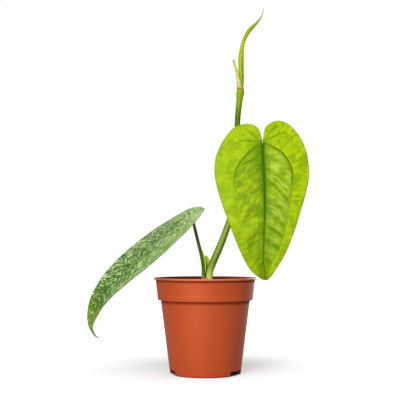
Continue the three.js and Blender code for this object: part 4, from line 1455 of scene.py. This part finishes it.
NEW_LEAF = {
    "route": [[42.5, 5.8, 334.2], [43.1, 5.2, 348], [42.7, 4, 367], [44, 3, 384], [47.6, 1, 395],
              [53, 0, 404], [61, -1.6, 412], [66.2, -2, 419], [69.2, -2, 429]],
    "radii": [[0, 3], [0.1, 3.5], [0.27, 3.6], [0.34, 3.9], [0.4, 3.7], [0.46, 3],
              [0.62, 2.4], [0.7, 2.7], [0.8, 1.7], [0.88, 0.9], [1, 0.3]],
}
NEW_LEAF_LAP = 0.16
NEW_LEAF_STEPS = 320
NEW_LEAF_TWIST = 1.5
SCALE_GAP = 0.1
SCALE_ROWS, SCALE_COLUMNS = 90, 36
SHEATH = {
    "route": [[42.3, 5.8, 335], [41.6, 5.2, 345], [39.6, 4, 355.5], [36.7, 2.4, 364.5],
              [35.3, 1.2, 369.4]],
    "opening": [1, 0.12, 0],
    "radii": [[0, 4.3], [1, 2.7]],
    "spread": [[0, 110], [0.12, 88], [0.3, 72], [0.6, 60], [0.85, 52], [0.95, 46], [1, 26]],
    "turn": [[0, 0], [0.3, -4], [0.6, -10], [0.85, -16], [1, -16]],
    "thickness": [0.5, 0.18],
    "keel": 0,
}
BRACT = {
    "route": [[0.8, 2.6, 93], [0.9, 2.0, 108], [1.7, -0.8, 118], [2.0, -2.9, 126],
              [1.8, -4.2, 132], [0.7, -4.8, 136.4]],
    "opening": [0, -1, 0],
    "radii": [[0, 4], [0.5, 4.4], [1, 4.9]],
    "turn": [[0, 0], [1, 0]],
    "spread": [[0, 70], [0.4, 56], [0.6, 46], [0.75, 39], [0.88, 31], [0.96, 19], [1, 4]],
    "thickness": [0.6, 0.25],
    "keel": 0.2,
}


def scale_mesh(scale):
    """A thin boat-shaped scale along a route, open to one side."""
    route = Route(scale["route"])
    part = np.linspace(0, 1, SCALE_ROWS)
    across = np.linspace(-1, 1, SCALE_COLUMNS)[None, :]
    tangent = route.tangent(part)
    front = square_to(tangent, scale["opening"])
    side = np.cross(tangent, front)
    half, turn, radius = (flowing(scale[key], part)[:, None] for key in ("spread", "turn", "radii"))
    half = np.radians(half)
    angle = half * across + np.radians(turn)
    centre, part = route.at(part), part[:, None]
    thick, thin = scale["thickness"]
    body = thin + (thick - thin) * (1 - across ** 2) * smooth(1.0, 0.75, part)
    ribs = 0.05 * np.cos(across * half * radius * 2 * math.pi / 0.9)
    keel = scale["keel"] * bead(across, 0.16)
    inner = radius + SCALE_GAP + 0.25 * across ** 4 * np.sin(part * 23 + 2 * across)
    points, faces = shell(*(around(centre, -front, side, distance, angle)
                            for distance in (inner + body + ribs + keel, inner)))
    along = part * route.length + 0 * across
    flow = np.stack([angle * radius, 0 * along, along], axis=-1) * MM
    values = {"flow": flow, "part": part + 0 * across, "edge": np.abs(across) + 0 * along}
    shape = Shape()
    shape.add(points, faces, **{key: np.concatenate([v, v]) for key, v in values.items()})
    return shape.mesh()


def new_leaf_finish(settings):
    finish = Finish("new leaf", Specular_IOR_Level=0.4, Specular_Tint=LEAF_GLOSS)
    part, lap = finish.value("part"), finish.value("lap")
    vein = finish.noise(finish.vector("flow", (1, 1, 0.1)), 1.5, 3, 0.6)
    cloud = finish.noise(finish.vector("flow", (1, 1, 0.4)), 5, 3)
    finish.colour = settings.new_leaf
    finish.coat(scaled(settings.new_leaf, 0.72), finish.step(cloud, 0.4, 0.65, 0, 0.6))
    finish.coat(shade(110, 160, 14), finish.step(vein, 0.5, 0.68, 0, 0.5))
    finish.coat(shade(128, 170, 30), finish.step(part, 0.22, 0.0, 0, 0.55))
    finish.coat(shade(112, 144, 10), finish.step(part, 0.5, 0.66, 0, 0.5))
    # Painted shade: the lapped under-layer, in the fold beneath the overlapping margin, is darker.
    finish.coat(shade(104, 146, 8), finish.step(lap, 0.1, 0.9, 0, 0.45))
    rough = finish.maths("MULTIPLY_ADD", lap, 0.4, finish.step(cloud, 0.3, 0.7, 0.38, 0.5))
    return finish.done(rough, finish.bump(vein, 0.12, 0.3))


def scale_finish(finish, ground, lumps, vein_tone, cloud_tone, marks, dull, relief):
    """Skin of a thin scale. lumps is how far its veins are drawn out and the sizes of its veins
    and clouds, and a mark is a (value, step, tone)."""
    drawn_out, vein_size, cloud_size = lumps
    vein = finish.noise(finish.vector("flow", (1, 1, drawn_out)), vein_size, 2, 0.5)
    cloud = finish.noise(finish.vector("flow"), cloud_size, 3)
    finish.colour = ground
    finish.coat(vein_tone, finish.step(vein, 0.5, 0.66, 0, 0.5))
    finish.coat(cloud_tone, finish.step(cloud, 0.45, 0.7, 0, 0.3))
    for value, step, tone in marks:
        finish.coat(tone, finish.step(finish.value(value), *step))
    return finish.done(finish.step(cloud, 0.3, 0.7, *dull), finish.bump(vein, relief, 0.7))


def sheath_finish(settings):
    finish = Finish("papery sheath", Specular_IOR_Level=0.35)
    marks = [("edge", (0.6, 1.0, 0, 0.7), shade(188, 132, 96)),
             ("part", (0.12, 0.0, 0, 0.7), shade(186, 140, 44)),
             ("part", (0.86, 1.0, 0, 0.5), shade(150, 110, 60))]
    return scale_finish(finish, settings.sheath, (0.06, 0.8, 5), shade(170, 186, 84),
                        shade(226, 214, 168), marks, (0.5, 0.7), 0.15)


def bract_finish(settings):
    finish = Finish("green bract", Specular_IOR_Level=0.4, Specular_Tint=LEAF_GLOSS)
    marks = [("part", (0.85, 0.6, 0, 0.7), shade(122, 142, 12)),
             ("part", (0.66, 0.4), shade(190, 206, 100)),
             ("edge", (0.75, 1.0, 0, 0.4), shade(186, 196, 96))]
    return scale_finish(finish, settings.bract, (0.08, 0.9, 4), shade(124, 158, 22),
                        shade(196, 210, 70), marks, (0.42, 0.6), 0.12)


class PLANT_OT_new_leaf(Operator):
    """Roll the new leaf, with one margin lapped over the other and a curled tip"""

    bl_idname = "plant.new_leaf"
    bl_label = "New leaf"

    def execute(self, context):
        def section(part, angle):
            turned = angle / (2 * math.pi)
            step = smooth(0.965, 0.995, turned)
            lapped = 1 - NEW_LEAF_LAP * (1 - turned) * (1 - step) - NEW_LEAF_LAP * step
            pinch = 0.06 * np.cos(2 * (angle - 1.2 - 3 * part))
            return lapped + pinch + 0.015 * np.cos(13 * angle + 11 * part)

        def radius(part):
            return flowing(NEW_LEAF["radii"], part)

        turned = np.concatenate([np.linspace(0, 0.94, 60), np.linspace(0.95, 0.998, 14)])
        points, faces, values = tube(Route(NEW_LEAF["route"]), radius, (0.2, -1, 0),
                                     turned * 2 * math.pi, NEW_LEAF_STEPS, section,
                                     NEW_LEAF_TWIST)
        lap = smooth(0.93, 0.985, turned)[None, :] * smooth(0.98, 0.85, values["part"])
        shape = Shape()
        shape.add(points, faces, **values, lap=lap)
        new_piece(shape.mesh(), "new_leaf", new_leaf_finish(context.scene.plant_stem), sharp=60)
        return {"FINISHED"}


class PLANT_OT_scales(Operator):
    """Make the papery sheath of the new leaf and the bract at the stem's foot"""

    bl_idname = "plant.scales"
    bl_label = "Sheath and bract"

    def execute(self, context):
        settings = context.scene.plant_stem
        new_piece(scale_mesh(SHEATH), "new_leaf_sheath", sheath_finish(settings), sharp=70)
        new_piece(scale_mesh(BRACT), "base_bract", bract_finish(settings), sharp=70)
        return {"FINISHED"}


# The stage

CAMERA_PLACE = [-6.25, -1042, 142.45]
CAMERA_RISE = 3.258
LENS = 80
SENSOR = 36
CLIP_NEAR, CLIP_FAR = 0.05, 50
FLOOR_HALF = 6000
FLOOR_POINTS = 9
LIGHTS = {
    # name: (setting, place, point that it faces, width, height)
    "main light": ("key", [-400, -1230, 560], [10, -20, 190], 500, 700),
    "strip light": ("strip", [-600, -780, 130], [0, 0, 80], 140, 340),
    "top light": ("top", [0, -60, 1300], [0, 0, 0], 1300, 1300),
    "fill light": ("fill", [1100, -500, 420], [0, 0, 160], 800, 900),
    "back light": ("back", [620, 1200, 420], [0, 0, 140], 900, 800),
}
# the painted shadow at the pot's foot, a soft dip in the floor's glow, and the circle below the pot
# that doesn't glow, in metres
SHADE_CENTRE = [0.003, 0.085, 0]
SHADE_SIZE = [0.088, 0.075]
SHADE_DEPTH = 0.41
HIDDEN_REACH = [0.036, 0.041]
GLOW_REACH = [0.12, 0.5]


def floor_finish(settings):
    """A matt floor that glows to the camera alone, so that it looks white without lighting the
    plant from below."""
    finish = Finish("matt floor", Specular_IOR_Level=0.0, Emission_Color=(1, 1, 1, 1))
    where = finish.place()
    soft = finish.noise(where, 220, 3)
    finish.colour = settings.floor
    finish.coat(scaled(settings.floor, 0.985), finish.step(soft, 0.3, 0.7))
    far = finish.vectors("LENGTH", where)
    # Painted shadow: the glow dips in a soft ellipse behind the pot's foot.
    apart = finish.vectors("SUBTRACT", where, SHADE_CENTRE)
    apart = finish.vectors("MULTIPLY", apart, [1 / size for size in SHADE_SIZE] + [0])
    spread = finish.vectors("DOT_PRODUCT", apart, apart)
    shaded = finish.maths("POWER", math.exp(-1), spread)
    glow = finish.maths("MULTIPLY_ADD", shaded, -SHADE_DEPTH,
                        finish.step(far, *GLOW_REACH, settings.glow, 1.0))
    seen = finish.add("LightPath", {}).outputs["Is Camera Ray"]
    finish.feed(finish.shader.inputs["Emission Strength"],
                finish.masked(glow, finish.step(far, *HIDDEN_REACH), seen))
    rough = finish.step(soft, 0.3, 0.7, 0.42, 0.5)
    return finish.done(rough, finish.bump(finish.noise(where, 2, 2), 0.01, 0.3))


def lay_floor(scene, settings):
    shape = Shape()
    side = np.linspace(-FLOOR_HALF, FLOOR_HALF, FLOOR_POINTS)
    x, y = np.meshgrid(side, side, indexing="ij")
    shape.add(np.stack([x, y, 0 * x], axis=-1), [grid(FLOOR_POINTS, FLOOR_POINTS)])
    mesh = shape.mesh("floor")
    if mesh.polygons[0].normal.z < 0:
        mesh.flip_normals()
    mesh.materials.append(floor_finish(settings))
    floor = bpy.data.objects.new("floor", mesh)
    scene.collection.objects.link(floor)


def hang_lights(scene, settings):
    for name, (power, place, aim, width, height) in LIGHTS.items():
        light = bpy.data.lights.new(name, "AREA")
        light.shape, light.size, light.size_y = "RECTANGLE", width * MM, height * MM
        light.energy = getattr(settings, power)
        lamp = bpy.data.objects.new(name, light)
        lamp.location = Vector(place) * MM
        lamp.rotation_euler = (Vector(aim) - Vector(place)).to_track_quat("-Z", "Y").to_euler()
        scene.collection.objects.link(lamp)


def set_surroundings(scene, settings):
    """White surroundings, of one brightness for light, one for gloss and one for the camera."""
    world = scene.world or bpy.data.worlds.new("surroundings")
    scene.world = world
    world.use_nodes = True
    tree = world.node_tree
    tree.nodes.clear()
    path = tree.nodes.new("ShaderNodeLightPath")
    output = tree.nodes.new("ShaderNodeOutputWorld")
    whole = None
    for strength, ray in ((settings.around, None), (settings.mirrored, "Is Glossy Ray"),
                          (1, "Is Camera Ray")):
        white = tree.nodes.new("ShaderNodeBackground")
        white.inputs["Color"].default_value = (1, 1, 1, 1)
        white.inputs["Strength"].default_value = strength
        if whole is not None:
            mix = tree.nodes.new("ShaderNodeMixShader")
            tree.links.new(path.outputs[ray], mix.inputs[0])
            tree.links.new(whole.outputs[0], mix.inputs[1])
            tree.links.new(white.outputs[0], mix.inputs[2])
            white = mix
        whole = white
    tree.links.new(whole.outputs[0], output.inputs["Surface"])


def place_camera(scene):
    lens = bpy.data.cameras.new("camera")
    lens.lens, lens.sensor_width = LENS, SENSOR
    lens.clip_start, lens.clip_end = CLIP_NEAR, CLIP_FAR
    camera = bpy.data.objects.new("camera", lens)
    camera.location = Vector(CAMERA_PLACE) * MM
    camera.rotation_euler = (math.radians(90 + CAMERA_RISE), 0, 0)
    scene.collection.objects.link(camera)
    scene.camera = camera
    scene.view_settings.view_transform = "Standard"


class PLANT_OT_stage(Operator):
    """Lay the floor and set up the lights, the surroundings and the camera"""

    bl_idname = "plant.stage"
    bl_label = "Stage"

    def execute(self, context):
        scene = context.scene
        lay_floor(scene, scene.plant_stage)
        hang_lights(scene, scene.plant_stage)
        set_surroundings(scene, scene.plant_stage)
        place_camera(scene)
        return {"FINISHED"}


# Panel and registration

OPERATORS = [PLANT_OT_pot, PLANT_OT_potting_mix, PLANT_OT_roots, PLANT_OT_main_stem,
             PLANT_OT_leaf_stalks, PLANT_OT_leaf_blades, PLANT_OT_new_leaf, PLANT_OT_scales,
             PLANT_OT_stage]
SETTINGS = {"plant_pot": PotSettings, "plant_mix": MixSettings, "plant_stem": StemSettings,
            "plant_leaf": LeafSettings, "plant_stage": StageSettings}


class PLANT_PT_pieces(Panel):
    """Lists the pieces of the plant and their settings"""

    bl_label = "Potted aroid"
    bl_idname = "PLANT_PT_pieces"
    bl_space_type = "VIEW_3D"
    bl_region_type = "UI"
    bl_category = "Plant"

    def draw(self, context):
        for operator in OPERATORS:
            self.layout.operator(operator.bl_idname)
        for name, group in SETTINGS.items():
            box = self.layout.box()
            box.label(text=group.__doc__.rstrip("."))
            for setting in group.__annotations__:
                box.prop(getattr(context.scene, name), setting)


def register():
    for group in SETTINGS.values():
        bpy.utils.register_class(group)
    for name, group in SETTINGS.items():
        setattr(bpy.types.Scene, name, PointerProperty(type=group))
    for operator in OPERATORS:
        bpy.utils.register_class(operator)
    bpy.utils.register_class(PLANT_PT_pieces)


def unregister():
    bpy.utils.unregister_class(PLANT_PT_pieces)
    for operator in reversed(OPERATORS):
        bpy.utils.unregister_class(operator)
    for name, group in reversed(SETTINGS.items()):
        delattr(bpy.types.Scene, name)
        bpy.utils.unregister_class(group)


def main():
    register()
    for operator in OPERATORS:
        family, name = operator.bl_idname.split(".")
        getattr(getattr(bpy.ops, family), name)()


if __name__ == "__main__":
    main()
